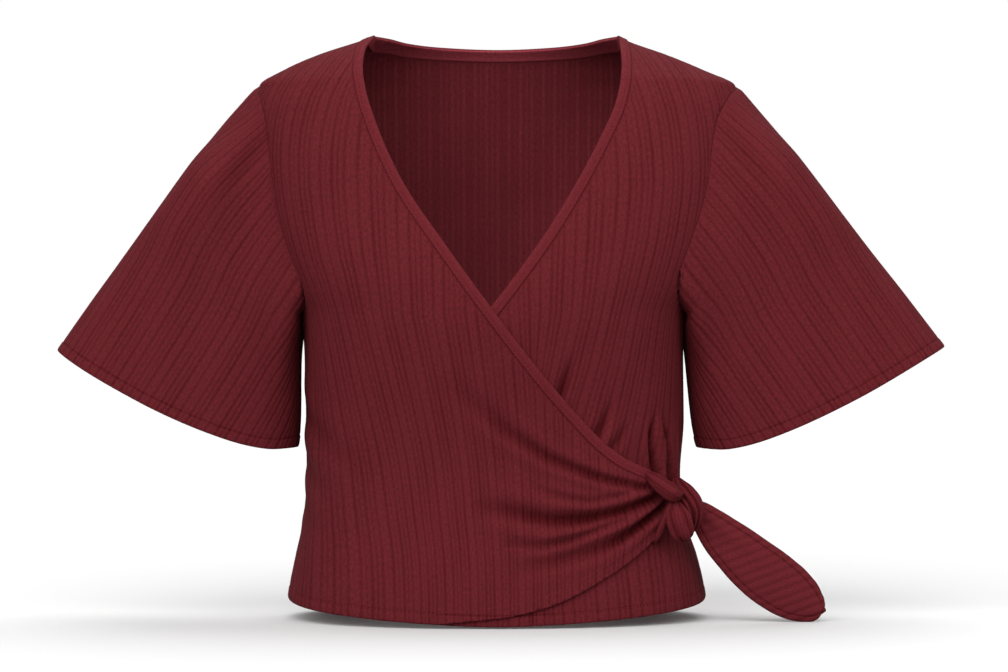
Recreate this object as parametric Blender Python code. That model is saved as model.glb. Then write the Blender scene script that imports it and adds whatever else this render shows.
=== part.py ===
"""Ribbed-knit wrap top with flared elbow sleeves, filled out as it hangs on the shoulders.

Metres, +Z up. The front faces -Y, and +X is the wearer's left, the side of the knot. The origin lies
midway between the neck points of the two shoulder seams. A place on the body is given by its face
(FRONT or BACK), by the way round from that face's centre line (around, + towards +X) and by height.
A place on a sleeve is given by the way along from the shoulder point and by the share of the way
round from the top line to the underarm.
"""

import math

import bpy
import numpy as np
from mathutils import Vector
from mathutils.geometry import delaunay_2d_cdt

FRONT = -1
BACK = 1
RIGHT_SIDE = -1
LEFT_SIDE = 1

CLOTH = 0.0014
SEAM_GAP = 0.0003
LAYER_STEP = 0.0027
BINDING_WIDTH = 0.0085
BINDING_STEP = 0.0004

SHOULDER_POINT = -0.040
UNDERARM = -0.2245
FRONT_HEM = -0.465
BACK_HEM = -0.457
SIDE_HEM = -0.448
HEM_CURVE = 1.5
UNDER_START = -0.125
HIDDEN_HEM = 0.003


def table(columns, rows):
    """A table's columns by name."""
    return dict(zip(columns.split(), np.array(rows).T))


# Level sections of the body: superellipses, with their own half width on each side.
TORSO = table(
    "height right_half left_half front_depth back_depth squareness",
    (
        (-0.480, 0.172, 0.170, 0.113, 0.108, 2.35),
        (-0.440, 0.167, 0.165, 0.109, 0.104, 2.35),
        (-0.415, 0.162, 0.159, 0.106, 0.100, 2.35),
        (-0.391, 0.157, 0.151, 0.103, 0.096, 2.35),
        (-0.351, 0.154, 0.146, 0.101, 0.093, 2.35),
        (-0.307, 0.1545, 0.149, 0.105, 0.095, 2.3),
        (-0.260, 0.155, 0.1485, 0.113, 0.101, 2.3),
        (-0.224, 0.158, 0.151, 0.117, 0.106, 2.3),
        (-0.205, 0.167, 0.160, 0.116, 0.108, 2.3),
        (-0.177, 0.179, 0.174, 0.111, 0.109, 2.3),
        (-0.140, 0.189, 0.187, 0.102, 0.107, 2.3),
        (-0.100, 0.194, 0.194, 0.090, 0.099, 2.3),
        (-0.060, 0.195, 0.195, 0.073, 0.087, 2.3),
        (-0.040, 0.190, 0.190, 0.062, 0.079, 2.2),
        (-0.028, 0.169, 0.169, 0.052, 0.0735, 2.2),
        (-0.015, 0.139, 0.139, 0.038, 0.0665, 2.2),
        (-0.005, 0.110, 0.110, 0.022, 0.056, 2.1),
        (0.000, 0.098, 0.098, 0.010, 0.030, 2.1),
    ),
)

# The armholes, as a share of the way from the centre line to the side: less where the seam cuts in.
ARMHOLE = {
    RIGHT_SIDE: table(
        "height share",
        (
            (-0.2245, 1.000),
            (-0.2235, 0.930),
            (-0.2195, 0.830),
            (-0.2110, 0.760),
            (-0.2000, 0.738),
            (-0.1780, 0.762),
            (-0.1440, 0.792),
            (-0.1030, 0.818),
            (-0.0730, 0.851),
            (-0.0520, 0.910),
            (-0.0400, 1.000),
        ),
    ),
    LEFT_SIDE: table(
        "height share",
        (
            (-0.2245, 1.000),
            (-0.2230, 0.900),
            (-0.2170, 0.780),
            (-0.2060, 0.700),
            (-0.1910, 0.672),
            (-0.1630, 0.690),
            (-0.1300, 0.722),
            (-0.0980, 0.746),
            (-0.0710, 0.785),
            (-0.0500, 0.875),
            (-0.0400, 1.000),
        ),
    ),
}

# The free edges of the two fronts, from the neck point down to the knot or the inner end.
OVER_EDGE = table(
    "around height",
    (
        (-0.0995, 0.000),
        (-0.1065, -0.012),
        (-0.1075, -0.026),
        (-0.1050, -0.044),
        (-0.0985, -0.066),
        (-0.0770, -0.1155),
        (-0.0380, -0.174),
        (-0.0025, -0.2226),
        (0.0417, -0.279),
        (0.0646, -0.305),
        (0.0800, -0.321),
        (0.0980, -0.335),
        (0.1200, -0.3455),
    ),
)
UNDER_EDGE = table(
    "around height",
    (
        (0.0985, 0.000),
        (0.0985, -0.012),
        (0.0985, -0.022),
        (0.0970, -0.038),
        (0.0925, -0.058),
        (0.0820, -0.082),
        (0.0450, -0.149),
        (0.0100, -0.199),
        (-0.0470, -0.268),
        (-0.0850, -0.308),
        (-0.1250, -0.342),
    ),
)
# The rounded lower edge of the over front, from the hem up to the knot, and the end inside the knot.
OVER_LOW_EDGE = table(
    "around height",
    (
        (-0.016, -0.4616),
        (0.016, -0.4575),
        (0.048, -0.4466),
        (0.083, -0.4288),
        (0.110, -0.4119),
        (0.130, -0.3965),
        (0.1485, -0.3775),
    ),
)
BACK_NECK = table(
    "share height",
    (
        (0.00, -0.0075),
        (0.35, -0.0065),
        (0.60, -0.0048),
        (0.80, -0.0024),
        (1.00, 0.0000),
    ),
)

# Folds of the over front drawn in by the knot: each a trough along a line, soft at its far end.
KNOT_FOLDS = (
    table(
        "around height depth half_width",
        (
            (-0.047, -0.259, 0.0006, 0.016),
            (-0.017, -0.293, 0.0012, 0.012),
            (0.015, -0.319, 0.0022, 0.010),
            (0.049, -0.337, 0.0036, 0.008),
            (0.078, -0.3495, 0.0044, 0.006),
            (0.105, -0.357, 0.0048, 0.0045),
            (0.130, -0.361, 0.0050, 0.003),
        ),
    ),
    table(
        "around height depth half_width",
        (
            (-0.040, -0.372, 0.0006, 0.012),
            (-0.006, -0.3776, 0.0016, 0.010),
            (0.026, -0.383, 0.0026, 0.0085),
            (0.060, -0.3832, 0.0036, 0.007),
            (0.0945, -0.376, 0.0046, 0.0055),
            (0.118, -0.3668, 0.0054, 0.0042),
            (0.137, -0.3625, 0.0056, 0.003),
        ),
    ),
    table(
        "around height depth half_width",
        (
            (-0.030, -0.402, 0.0006, 0.009),
            (0.012, -0.4036, 0.0022, 0.007),
            (0.038, -0.4037, 0.0036, 0.006),
            (0.066, -0.3994, 0.0046, 0.0052),
            (0.089, -0.390, 0.0056, 0.0046),
            (0.117, -0.379, 0.0064, 0.004),
            (0.140, -0.368, 0.0064, 0.003),
        ),
    ),
    table(
        "around height depth half_width",
        (
            (-0.010, -0.4227, 0.0003, 0.008),
            (0.026, -0.4205, 0.0012, 0.007),
            (0.049, -0.416, 0.0022, 0.006),
            (0.066, -0.4124, 0.0030, 0.005),
            (0.0914, -0.403, 0.0042, 0.0045),
            (0.115, -0.391, 0.0056, 0.004),
            (0.140, -0.376, 0.0060, 0.003),
        ),
    ),
)
KNOT_AROUND = 0.136
KNOT_HEIGHT = -0.366
KNOT_PUFF = 0.0085
KNOT_REACH_AROUND = 0.075
KNOT_REACH_HEIGHT = 0.034
FOLD_START = (-0.020, 0.010)
OVERLAP_AROUND = (-0.190, -0.140)
OVERLAP_HEIGHT = (-0.190, -0.130)

# Sleeves: ovals square to the sleeve's slope, from the shoulder point down to the hem.
SLEEVE_SLOPE = math.radians(37.2)
SLEEVE_TOP = (0.1906, -0.0400)
SLEEVE_INNER_CORNER = {RIGHT_SIDE: (0.1600, -0.3285), LEFT_SIDE: (0.1590, -0.3295)}
SLEEVE = table(
    "along top depth squareness",
    (
        (-0.020, 0.0000, 0.046, 3.4),
        (0.000, 0.0000, 0.050, 3.4),
        (0.019, -0.0045, 0.054, 3.4),
        (0.042, -0.0055, 0.057, 3.4),
        (0.086, -0.0070, 0.059, 3.4),
        (0.125, -0.0065, 0.058, 3.2),
        (0.165, -0.0055, 0.056, 2.6),
        (0.219, -0.0040, 0.056, 2.3),
        (0.280, 0.0005, 0.057, 2.2),
    ),
)
SLEEVE_HEM = table(
    "across along",
    (
        (-0.010, 0.2670),
        (0.000, 0.2670),
        (0.078, 0.2590),
        (0.148, 0.2420),
        (0.182, 0.2265),
        (0.200, 0.2110),
        (0.215, 0.1960),
    ),
)
CAP_BLEND = 0.075
SLEEVE_BEYOND = 0.080
UNDERARM_EASE = 0.004
SLEEVE_CLEARANCE = 0.0015
SLEEVE_CLEARANCE_WAY = 0.012
SLEEVE_ROW_SPREAD = 1.3
ARMHOLE_MARGIN = 0.004

# The knot's stretches, each a rounded band along its own line.
KNOT_COLUMNS = "x y z width thickness roll"
KNOT_STRETCHES = {
    "knot_band": (
        (0.1135, -0.0865, -0.3440, 0.008, 0.005, 20),
        (0.1200, -0.0855, -0.3500, 0.014, 0.008, 20),
        (0.1280, -0.0825, -0.3585, 0.017, 0.010, 20),
        (0.1355, -0.0775, -0.3660, 0.016, 0.010, 20),
        (0.1405, -0.0725, -0.3705, 0.011, 0.007, 20),
    ),
    "knot_loop": (
        (0.1415, -0.0560, -0.3470, 0.010, 0.008, 0),
        (0.1490, -0.0600, -0.3560, 0.020, 0.013, 0),
        (0.1545, -0.0610, -0.3680, 0.023, 0.015, 0),
        (0.1545, -0.0600, -0.3800, 0.021, 0.014, 0),
        (0.1500, -0.0590, -0.3930, 0.012, 0.009, 0),
    ),
    "tie_end_short": (
        (0.1350, -0.0745, -0.3770, 0.012, 0.008, 0),
        (0.1365, -0.0800, -0.3870, 0.024, 0.012, 0),
        (0.1375, -0.0800, -0.3980, 0.027, 0.013, 0),
        (0.1385, -0.0770, -0.4060, 0.018, 0.009, 0),
    ),
}
TAIL = table(
    "x y z half_width",
    (
        (0.1660, -0.0610, -0.3895, 0.0125),
        (0.1755, -0.0610, -0.4005, 0.0165),
        (0.1870, -0.0605, -0.4125, 0.0193),
        (0.2010, -0.0595, -0.4250, 0.0214),
        (0.2170, -0.0575, -0.4365, 0.0218),
        (0.2320, -0.0550, -0.4465, 0.0193),
        (0.2445, -0.0525, -0.4530, 0.0140),
        (0.2535, -0.0505, -0.4575, 0.0065),
    ),
)
TAIL_CLOTH = 0.0026
TAIL_BOW = 0.0030

SIDE_STEPS = 10
ARMHOLE_STEPS = 12
HEM_PLACE_STEPS = 12
SHOULDER_STEPS = 3
NECK_STEPS = {"over": 22, "back": 10, "under": 20}
SLEEVE_ROWS = 10
KNOT_STEPS = (8, 10)
TAIL_STEPS = (12, 4)
FINE = 181
SEED_SPACING = (0.0135, 0.0235)
FOLD_SPACING = (0.0060, 0.0048)
FOLD_AREA = (0.098, -0.384, 0.062, 0.042)
SEED_MARGIN = 0.45
WELD = 1e-6
INSIDE_ONLY = 1
NUDGE = 0.0005

RIB_KNIT = {"color": (0.128, 0.016, 0.021, 1.0), "roughness": 0.85, "metallic": 0.0}


def smooth_at(rows, key, value, where):
    """A table's value at places along its key column, by a monotone cubic through the rows."""
    known, wanted = rows[key], rows[value]
    step = np.diff(known)
    rise = np.diff(wanted) / step
    slope = np.zeros(len(known))
    slope[0], slope[-1] = rise[0], rise[-1]
    same_way = rise[:-1] * rise[1:] > 0
    before, after = rise[:-1][same_way], rise[1:][same_way]
    near = 2 * step[1:][same_way] + step[:-1][same_way]
    far = step[1:][same_way] + 2 * step[:-1][same_way]
    slope[1:-1][same_way] = (near + far) / (near / before + far / after)
    where = np.clip(where, known[0], known[-1])
    row = np.clip(np.searchsorted(known, where) - 1, 0, len(step) - 1)
    part = (where - known[row]) / step[row]
    rest = 1 - part
    return (
        wanted[row] * (1 + 2 * part) * rest**2
        + wanted[row + 1] * (3 - 2 * part) * part**2
        + step[row] * (slope[row] * part * rest**2 - slope[row + 1] * rest * part**2)
    )


def ramp(value, low, high):
    """0 below low, 1 above high, and a smooth rise between them."""
    part = np.clip((value - low) / (high - low), 0.0, 1.0)
    return part * part * (3 - 2 * part)


def each_row(vectors, others):
    """The dot product of two lists of vectors, row by row."""
    return np.sum(vectors * others, axis=-1, keepdims=True)


def unit(vectors):
    return vectors / np.linalg.norm(vectors, axis=-1, keepdims=True)


def lengths_along(points):
    """The way walked from the first point to each point."""
    steps = np.linalg.norm(np.diff(points, axis=0), axis=1)
    return np.concatenate([[0.0], np.cumsum(steps)])


def divided(line, steps, places=None):
    """A line cut into steps of equal length, measured along other places of the same line if given."""
    walked = lengths_along(line if places is None else places)
    wanted = np.linspace(0, walked[-1], steps + 1)
    return np.column_stack([np.interp(wanted, walked, column) for column in line.T])


def smooth_line(*columns):
    """Closely spaced points of a smooth line through a table's rows."""
    points = np.column_stack(columns)
    walked = lengths_along(points)
    wanted = np.linspace(0, walked[-1], FINE)
    rows = {"walked": walked}
    lines = []
    for number, column in enumerate(points.T):
        rows[number] = column
        lines.append(smooth_at(rows, "walked", number, wanted))
    return np.column_stack(lines)


# The body


def quarter(face, side, height):
    """A quarter of the body's level section: points from the centre line to the side, and the way walked."""
    half = smooth_at(TORSO, "height", "left_half" if side > 0 else "right_half", height)
    depth = smooth_at(TORSO, "height", "front_depth" if face < 0 else "back_depth", height)
    power = 2 / smooth_at(TORSO, "height", "squareness", height)
    turn = np.linspace(0, math.pi / 2, FINE)
    points = np.column_stack([half * np.sin(turn) ** power, depth * np.cos(turn) ** power])
    return points, lengths_along(points)


def side_of(around):
    return LEFT_SIDE if around > 0 else RIGHT_SIDE


def to_side(face, side, height):
    """The way from a face's centre line to the side seam or shoulder seam."""
    return quarter(face, side, height)[1][-1]


def body_point(face, around, height):
    side = side_of(around)
    points, walked = quarter(face, side, height)
    across = np.interp(abs(around), walked, points[:, 0])
    out = np.interp(abs(around), walked, points[:, 1])
    return np.array([side * across, face * out, height])


def body_normal(face, around, height):
    """The outward normal. On the side seams and the shoulder seams it lies in the plane of the seam."""
    side = side_of(around)
    seam = to_side(face, side, height)
    if abs(around) > seam - NUDGE:
        low = body_point(face, side * to_side(face, side, height - NUDGE), height - NUDGE)
        high_at = min(height + NUDGE, 0.0)
        high = body_point(face, side * to_side(face, side, high_at), high_at)
        rise = high - low
        normal = np.array([side * rise[2], 0.0, -side * rise[0]])
        return normal / np.linalg.norm(normal)
    lower, upper = height - NUDGE, min(height + NUDGE, 0.0)
    up = body_point(face, around, upper) - body_point(face, around, lower)
    along = body_point(face, around + NUDGE, height) - body_point(face, around - NUDGE, height)
    normal = -face * np.cross(along, up)
    return normal / np.linalg.norm(normal)


def hem_height(face, share):
    lowest = FRONT_HEM if face < 0 else BACK_HEM
    return lowest + (SIDE_HEM - lowest) * np.abs(share) ** HEM_CURVE


def knot_relief(around, height):
    """How far the over front stands out where the knot gathers it, in ridges with troughs between them."""
    beside = (around - KNOT_AROUND) / KNOT_REACH_AROUND
    above = (height - KNOT_HEIGHT) / KNOT_REACH_HEIGHT
    puff = KNOT_PUFF * math.exp(-(beside**2 + above**2))
    drop = 0.0
    for fold in KNOT_FOLDS:
        depth = smooth_at(fold, "around", "depth", around)
        half_width = smooth_at(fold, "around", "half_width", around)
        line = smooth_at(fold, "around", "height", around)
        start = ramp(around - fold["around"][0], *FOLD_START)
        drop += start * depth * math.exp(-(((height - line) / half_width) ** 2))
    return puff - drop


def over_lift(around, height):
    """How far the over front lies outside the under front."""
    beside = ramp(around, *OVERLAP_AROUND)
    below = 1 - ramp(height, *OVERLAP_HEIGHT)
    relief = knot_relief(around, height)
    return beside * below * (LAYER_STEP + max(relief, 0.0)) + (1 - beside * below) * relief


def no_lift(around, height):
    return 0.0


# Outlines of the panels, as lines of (around, height)


def side_seam(face, side, inset):
    """From the hem up to the underarm."""
    heights = np.linspace(SIDE_HEM, UNDERARM - inset, SIDE_STEPS + 1)
    around = [side * (to_side(face, side, height) - inset) for height in heights]
    return np.column_stack([around, heights])


def armhole(face, side, inset):
    """From the underarm up to the shoulder point, in equal steps, moved into the panel by an inset."""
    rows = ARMHOLE[side]
    heights = np.linspace(UNDERARM, SHOULDER_POINT, FINE)
    shares = smooth_at(rows, "height", "share", heights)
    around = [side * share * to_side(face, side, height) for share, height in zip(shares, heights)]
    line = np.column_stack([around, heights])
    places = np.array([body_point(face, around, height) for around, height in line])
    line = divided(line, ARMHOLE_STEPS, places)
    moved = moved_aside(line, side * inset)
    moved[0] = side * (to_side(face, side, UNDERARM) - inset), UNDERARM - inset
    moved[-1] = side * (to_side(face, side, SHOULDER_POINT + inset) - inset), SHOULDER_POINT + inset
    return moved


def shoulder_seam(face, side, top, inset):
    """From the shoulder point up to a height near the neck."""
    heights = np.linspace(SHOULDER_POINT + inset, top, SHOULDER_STEPS + 1)
    around = [side * (to_side(face, side, height) - inset) for height in heights]
    return np.column_stack([around, heights])


def hem_line(face, start, end):
    points = []
    for place in np.linspace(start, end, FINE):
        share = min(abs(place) / to_side(face, side_of(place), SIDE_HEM), 1.0)
        points.append((place, hem_height(face, share)))
    return np.array(points)


def moved_aside(line, distance):
    """A line moved to its left by a distance, within the cloth."""
    along = np.gradient(line, axis=0)
    along /= np.linalg.norm(along, axis=1)[:, None]
    return line + distance * np.column_stack([-along[:, 1], along[:, 0]])


def joined(*lines):
    return np.concatenate([line if not number else line[1:] for number, line in enumerate(lines)])


def shoulder_place(face, side, way):
    """The place on the shoulder seam at a way down it from the neck point."""
    heights = np.linspace(0, SHOULDER_POINT, FINE)
    line = np.array([body_point(face, side * to_side(face, side, height), height) for height in heights])
    height = np.interp(way, lengths_along(line), heights)
    return side * (to_side(face, side, height) - SEAM_GAP / 2), height


def seeded(outline, spacing, centre=None):
    """Places of a lattice inside an outline, clear of its edge, and near a centre if it is given."""
    spacing = np.array(spacing)
    low, high = outline.min(axis=0), outline.max(axis=0)
    columns = np.arange(math.ceil(low[0] / spacing[0]), high[0] / spacing[0]) * spacing[0]
    rows = np.arange(math.ceil(low[1] / spacing[1]), high[1] / spacing[1]) * spacing[1]
    places = []
    for place in np.array(np.meshgrid(columns, rows)).reshape(2, -1).T:
        if centre is not None and np.linalg.norm((place - centre[:2]) / centre[2:]) > 1:
            continue
        if inside(place, outline) and edge_distance(place, outline, spacing) > SEED_MARGIN:
            places.append(place)
    return np.array(places)


def inside(place, outline):
    """Whether a place is inside an outline: a line to its right crosses the edge an odd number of times."""
    ends = np.roll(outline, -1, axis=0)
    spans = (outline[:, 1] > place[1]) != (ends[:, 1] > place[1])
    first, last = outline[spans], ends[spans]
    shares = (place[1] - first[:, 1]) / (last[:, 1] - first[:, 1])
    crossing = first[:, 0] + shares * (last[:, 0] - first[:, 0])
    return np.count_nonzero(crossing > place[0]) % 2 == 1


def edge_distance(place, outline, spacing):
    """The distance from a place to an outline, counted in steps of a lattice."""
    first = (outline - place) / spacing
    way = np.roll(first, -1, axis=0) - first
    part = np.clip(-each_row(first, way) / each_row(way, way), 0, 1)
    return np.linalg.norm(first + part * way, axis=1).min()


# Solids


def new_material(name):
    material = bpy.data.materials.new(name)
    material.use_nodes = True
    shader = material.node_tree.nodes["Principled BSDF"]
    shader.inputs["Base Color"].default_value = RIB_KNIT["color"]
    shader.inputs["Roughness"].default_value = RIB_KNIT["roughness"]
    shader.inputs["Metallic"].default_value = RIB_KNIT["metallic"]
    return material


def new_object(name, points, faces, collection):
    mesh = bpy.data.meshes.new(name)
    mesh.from_pydata([tuple(point) for point in points], [], faces)
    mesh.validate()
    mesh.shade_smooth()
    mesh.set_sharp_from_angle(angle=math.radians(50))
    mesh.materials.append(new_material(name))
    obj = bpy.data.objects.new(name, mesh)
    collection.objects.link(obj)
    return obj


def wall(name, outer, inner, collection, ring=False, flip=False):
    """A closed wall between two grids of points. A ring's first and last columns are neighbours."""
    columns, rows = outer.shape[:2]
    count = columns * rows
    points = np.concatenate([outer.reshape(-1, 3), inner.reshape(-1, 3)])
    spans = columns if ring else columns - 1
    faces = []

    def at(column, row, layer):
        return (column % columns) * rows + row + layer * count

    for column in range(spans):
        for row in range(rows - 1):
            corners = ((column, row), (column + 1, row), (column + 1, row + 1), (column, row + 1))
            faces.append([at(*corner, 0) for corner in corners])
            faces.append([at(*corner, 1) for corner in reversed(corners)])
        for row, order in ((0, (0, 1)), (rows - 1, (1, 0))):
            first, second = (column, column + 1) if order == (0, 1) else (column + 1, column)
            faces.append([at(second, row, 0), at(first, row, 0), at(first, row, 1), at(second, row, 1)])
    if not ring:
        for row in range(rows - 1):
            faces.append([at(0, row, 0), at(0, row + 1, 0), at(0, row + 1, 1), at(0, row, 1)])
            last = columns - 1
            faces.append([at(last, row + 1, 0), at(last, row, 0), at(last, row, 1), at(last, row + 1, 1)])
    if flip:
        faces = [face[::-1] for face in faces]
    return new_object(name, points, faces, collection)


def body_wall(name, face, grid, lift, collection, out=0.0, thickness=CLOTH):
    """A panel or band on the body: its outer points stand out from the body by its lift."""
    outer, inner = np.empty(grid.shape[:2] + (3,)), np.empty(grid.shape[:2] + (3,))
    for place in np.ndindex(grid.shape[:2]):
        around, height = grid[place]
        normal = body_normal(face, around, height)
        surface = body_point(face, around, height) + (lift(around, height) + out) * normal
        outer[place], inner[place] = surface, surface - thickness * normal
    return wall(name, outer, inner, collection, flip=face > 0)


def panel(name, face, outline, lift, collection, folds=None):
    """A panel of cloth within an outline of places, with closer places inside where it folds."""
    seeds = seeded(outline, SEED_SPACING)
    if folds:
        fine = seeded(outline, FOLD_SPACING, np.array(folds))
        apart = np.linalg.norm((seeds[:, None] - fine[None]) / SEED_SPACING, axis=2).min(axis=1)
        seeds = np.concatenate([seeds[apart > SEED_MARGIN], fine])
    places = np.concatenate([outline, seeds]) / SEED_SPACING
    around_edge = [[number, (number + 1) % len(outline)] for number in range(len(outline))]
    flat, _, triangles, _, _, _ = delaunay_2d_cdt(
        [Vector(place) for place in places], around_edge, [list(range(len(outline)))], INSIDE_ONLY, WELD
    )
    outer, inner = [], []
    for place in flat:
        around, height = np.array(place) * SEED_SPACING
        normal = body_normal(face, around, height)
        surface = body_point(face, around, height) + lift(around, height) * normal
        outer.append(surface)
        inner.append(surface - CLOTH * normal)
    count = len(outer)
    faces = list(triangles)
    faces += [[number + count for number in reversed(triangle)] for triangle in triangles]
    sides = {edge for triangle in triangles for edge in zip(triangle, triangle[1:] + triangle[:1])}
    for first, last in sorted(edge for edge in sides if edge[::-1] not in sides):
        faces.append([last, first, first + count, last + count])
    if face > 0:
        faces = [corners[::-1] for corners in faces]
    return new_object(name, outer + inner, faces, collection)


def neck_edge(name):
    """A neck edge, the seam line of its binding and the panel's edge beside it, from a shoulder seam."""
    face, rows, _ = NECK_EDGES[name]
    edge = divided(smooth_line(rows["around"], rows["height"]), NECK_STEPS[name])
    aside = -1 if edge[0, 0] < edge[-1, 0] else 1
    lines = []
    for way in (0, BINDING_WIDTH, BINDING_WIDTH + SEAM_GAP):
        line = moved_aside(edge, aside * way)
        line[0] = shoulder_place(face, side_of(edge[0, 0]), way)
        if face == BACK:
            line[-1] = shoulder_place(face, side_of(edge[-1, 0]), way)
        lines.append(line)
    return lines


def back_neck_rows():
    """The back neck's edge, from the right neck point to the left one."""
    share = np.concatenate([-BACK_NECK["share"][:0:-1], BACK_NECK["share"]])
    height = np.concatenate([BACK_NECK["height"][:0:-1], BACK_NECK["height"]])
    around = [part * to_side(BACK, side_of(part), level) for part, level in zip(share, height)]
    return {"around": np.array(around), "height": height}


NECK_EDGES = {
    "over": (FRONT, OVER_EDGE, over_lift),
    "back": (BACK, back_neck_rows(), no_lift),
    "under": (FRONT, UNDER_EDGE, no_lift),
}


def evenly(line, step):
    """A line cut into equal steps near a given length."""
    return divided(line, max(round(lengths_along(line)[-1] / step), 1))


def build_back(collection):
    gap = SEAM_GAP / 2
    band = neck_edge("back")[2]
    right = joined(armhole(BACK, RIGHT_SIDE, gap), shoulder_seam(BACK, RIGHT_SIDE, band[0, 1], gap))
    left = joined(armhole(BACK, LEFT_SIDE, gap), shoulder_seam(BACK, LEFT_SIDE, band[-1, 1], gap))
    start, end = side_seam(BACK, RIGHT_SIDE, gap), side_seam(BACK, LEFT_SIDE, gap)
    lower = evenly(hem_line(BACK, start[0, 0], end[0, 0]), SEED_SPACING[0])
    outline = joined(lower, end, left, band[::-1], right[::-1], start[::-1])[:-1]
    panel("back", BACK, outline, no_lift, collection)


def build_front_over(collection):
    gap = SEAM_GAP / 2
    band = neck_edge("over")[2]
    shoulder = shoulder_seam(FRONT, RIGHT_SIDE, band[0, 1], gap)
    start = side_seam(FRONT, RIGHT_SIDE, gap)
    low_edge = smooth_line(OVER_LOW_EDGE["around"], OVER_LOW_EDGE["height"])
    hem = evenly(hem_line(FRONT, start[0, 0], low_edge[0, 0]), SEED_SPACING[0])
    end = np.array([low_edge[-1], band[-1]])
    lower = joined(hem, evenly(low_edge, FOLD_SPACING[0]), evenly(end, FOLD_SPACING[0]))
    arm = armhole(FRONT, RIGHT_SIDE, gap)
    outline = joined(lower, band[::-1], shoulder[::-1], arm[::-1], start[::-1])[:-1]
    panel("front_over", FRONT, outline, over_lift, collection, FOLD_AREA)


def build_front_under(collection):
    gap = SEAM_GAP / 2
    band = neck_edge("under")[2]
    shoulder = shoulder_seam(FRONT, LEFT_SIDE, band[0, 1], gap)
    end = side_seam(FRONT, LEFT_SIDE, gap)
    hem = hem_line(FRONT, UNDER_START, end[0, 0])
    hem[:, 1] += HIDDEN_HEM * ramp(hem[:, 0], OVER_LOW_EDGE["around"][1], OVER_LOW_EDGE["around"][0])
    start = evenly(np.array([band[-1], hem[0]]), SEED_SPACING[1])
    lower = joined(start, evenly(hem, SEED_SPACING[0]))
    outline = joined(lower, end, armhole(FRONT, LEFT_SIDE, gap), shoulder, band)[:-1]
    panel("front_under", FRONT, outline, no_lift, collection)


def build_bindings(collection):
    """The neck binding, one strip that shows in three stretches."""
    thickness = CLOTH + 2 * BINDING_STEP
    for name, (face, _, lift) in NECK_EDGES.items():
        edge, seam_line, _ = neck_edge(name)
        grid = np.stack([edge, seam_line])
        if edge[0, 0] > edge[-1, 0]:
            grid = grid[::-1]
        body_wall("neck_binding_" + name, face, grid, lift, collection, BINDING_STEP, thickness)


# The sleeves


def sleeve_frame(side):
    """The shoulder point, the way down the sleeve and the way across it towards the body."""
    start = np.array([side * SLEEVE_TOP[0], 0.0, SLEEVE_TOP[1]])
    down = np.array([side * math.sin(SLEEVE_SLOPE), 0.0, -math.cos(SLEEVE_SLOPE)])
    inward = np.array([-side * math.cos(SLEEVE_SLOPE), 0.0, -math.sin(SLEEVE_SLOPE)])
    return start, down, inward


def sleeve_bottom(side, along):
    """The way across to the sleeve's underarm line, which opens out below the underarm point."""
    start, down, inward = sleeve_frame(side)
    corner_x, corner_z = SLEEVE_INNER_CORNER[side]
    underarm = body_point(FRONT, side * to_side(FRONT, side, UNDERARM), UNDERARM) - start
    corner = np.array([side * corner_x, 0.0, corner_z]) - start
    first, last = underarm @ down, corner @ down
    narrow, wide = underarm @ inward, corner @ inward
    flare = (wide - narrow) / (last - first)
    beyond = last + SLEEVE_BEYOND
    rows = {
        "along": np.array([first - SLEEVE_BEYOND, first, last, beyond]),
        "bottom": np.array([narrow - UNDERARM_EASE, narrow, wide, wide + flare * SLEEVE_BEYOND]),
    }
    return smooth_at(rows, "along", "bottom", along)


def sleeve_half(side, along):
    """Half of the sleeve's oval from the top line to the underarm line, and the way walked."""
    top = smooth_at(SLEEVE, "along", "top", along)
    bottom = sleeve_bottom(side, along)
    depth = smooth_at(SLEEVE, "along", "depth", along)
    power = 2 / smooth_at(SLEEVE, "along", "squareness", along)
    turn = np.linspace(0, math.pi, 2 * FINE)
    cosine = np.cos(turn)
    across = (top + bottom) / 2 - (bottom - top) / 2 * np.sign(cosine) * np.abs(cosine) ** power
    points = np.column_stack([across, depth * np.clip(np.sin(turn), 0, 1) ** power])
    return points, lengths_along(points)


def sleeve_point(side, face, share, along):
    start, down, inward = sleeve_frame(side)
    points, walked = sleeve_half(side, along)
    way = share * walked[-1]
    across, out = np.interp(way, walked, points[:, 0]), np.interp(way, walked, points[:, 1])
    return start + along * down + across * inward + np.array([0.0, face * out, 0.0])


def cap_place(side, point):
    """The sleeve's own place nearest to a point of the armhole, as share and along."""
    start, down, inward = sleeve_frame(side)
    along = (point - start) @ down
    points, walked = sleeve_half(side, along)
    across, out = (point - start) @ inward, abs(point[1])
    nearest = np.argmin(np.hypot(points[:, 0] - across, points[:, 1] - out))
    return walked[nearest] / walked[-1], along


def hem_place(side, share):
    """The way along to the sleeve's hem at a share of the way round."""
    along = SLEEVE_HEM["along"][1]
    for _ in range(HEM_PLACE_STEPS):
        points, walked = sleeve_half(side, along)
        across = np.interp(share * walked[-1], walked, points[:, 0])
        along = smooth_at(SLEEVE_HEM, "across", "along", across)
    return along


def beside_body(side, face, point, clearance):
    """The point, moved sideways where it would be nearer to the panel beside it than the clearance."""
    points, walked = quarter(face, side, point[2])
    way = np.interp(abs(point[1]), points[::-1, 1], walked[::-1])
    cut = smooth_at(ARMHOLE[side], "height", "share", point[2])
    if abs(point[1]) > points[0, 1] or way > cut * walked[-1] + ARMHOLE_MARGIN:
        return point
    nearest = np.interp(way, walked, points[:, 0]) + clearance
    return np.array([side * max(side * point[0], nearest), point[1], point[2]])


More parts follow.
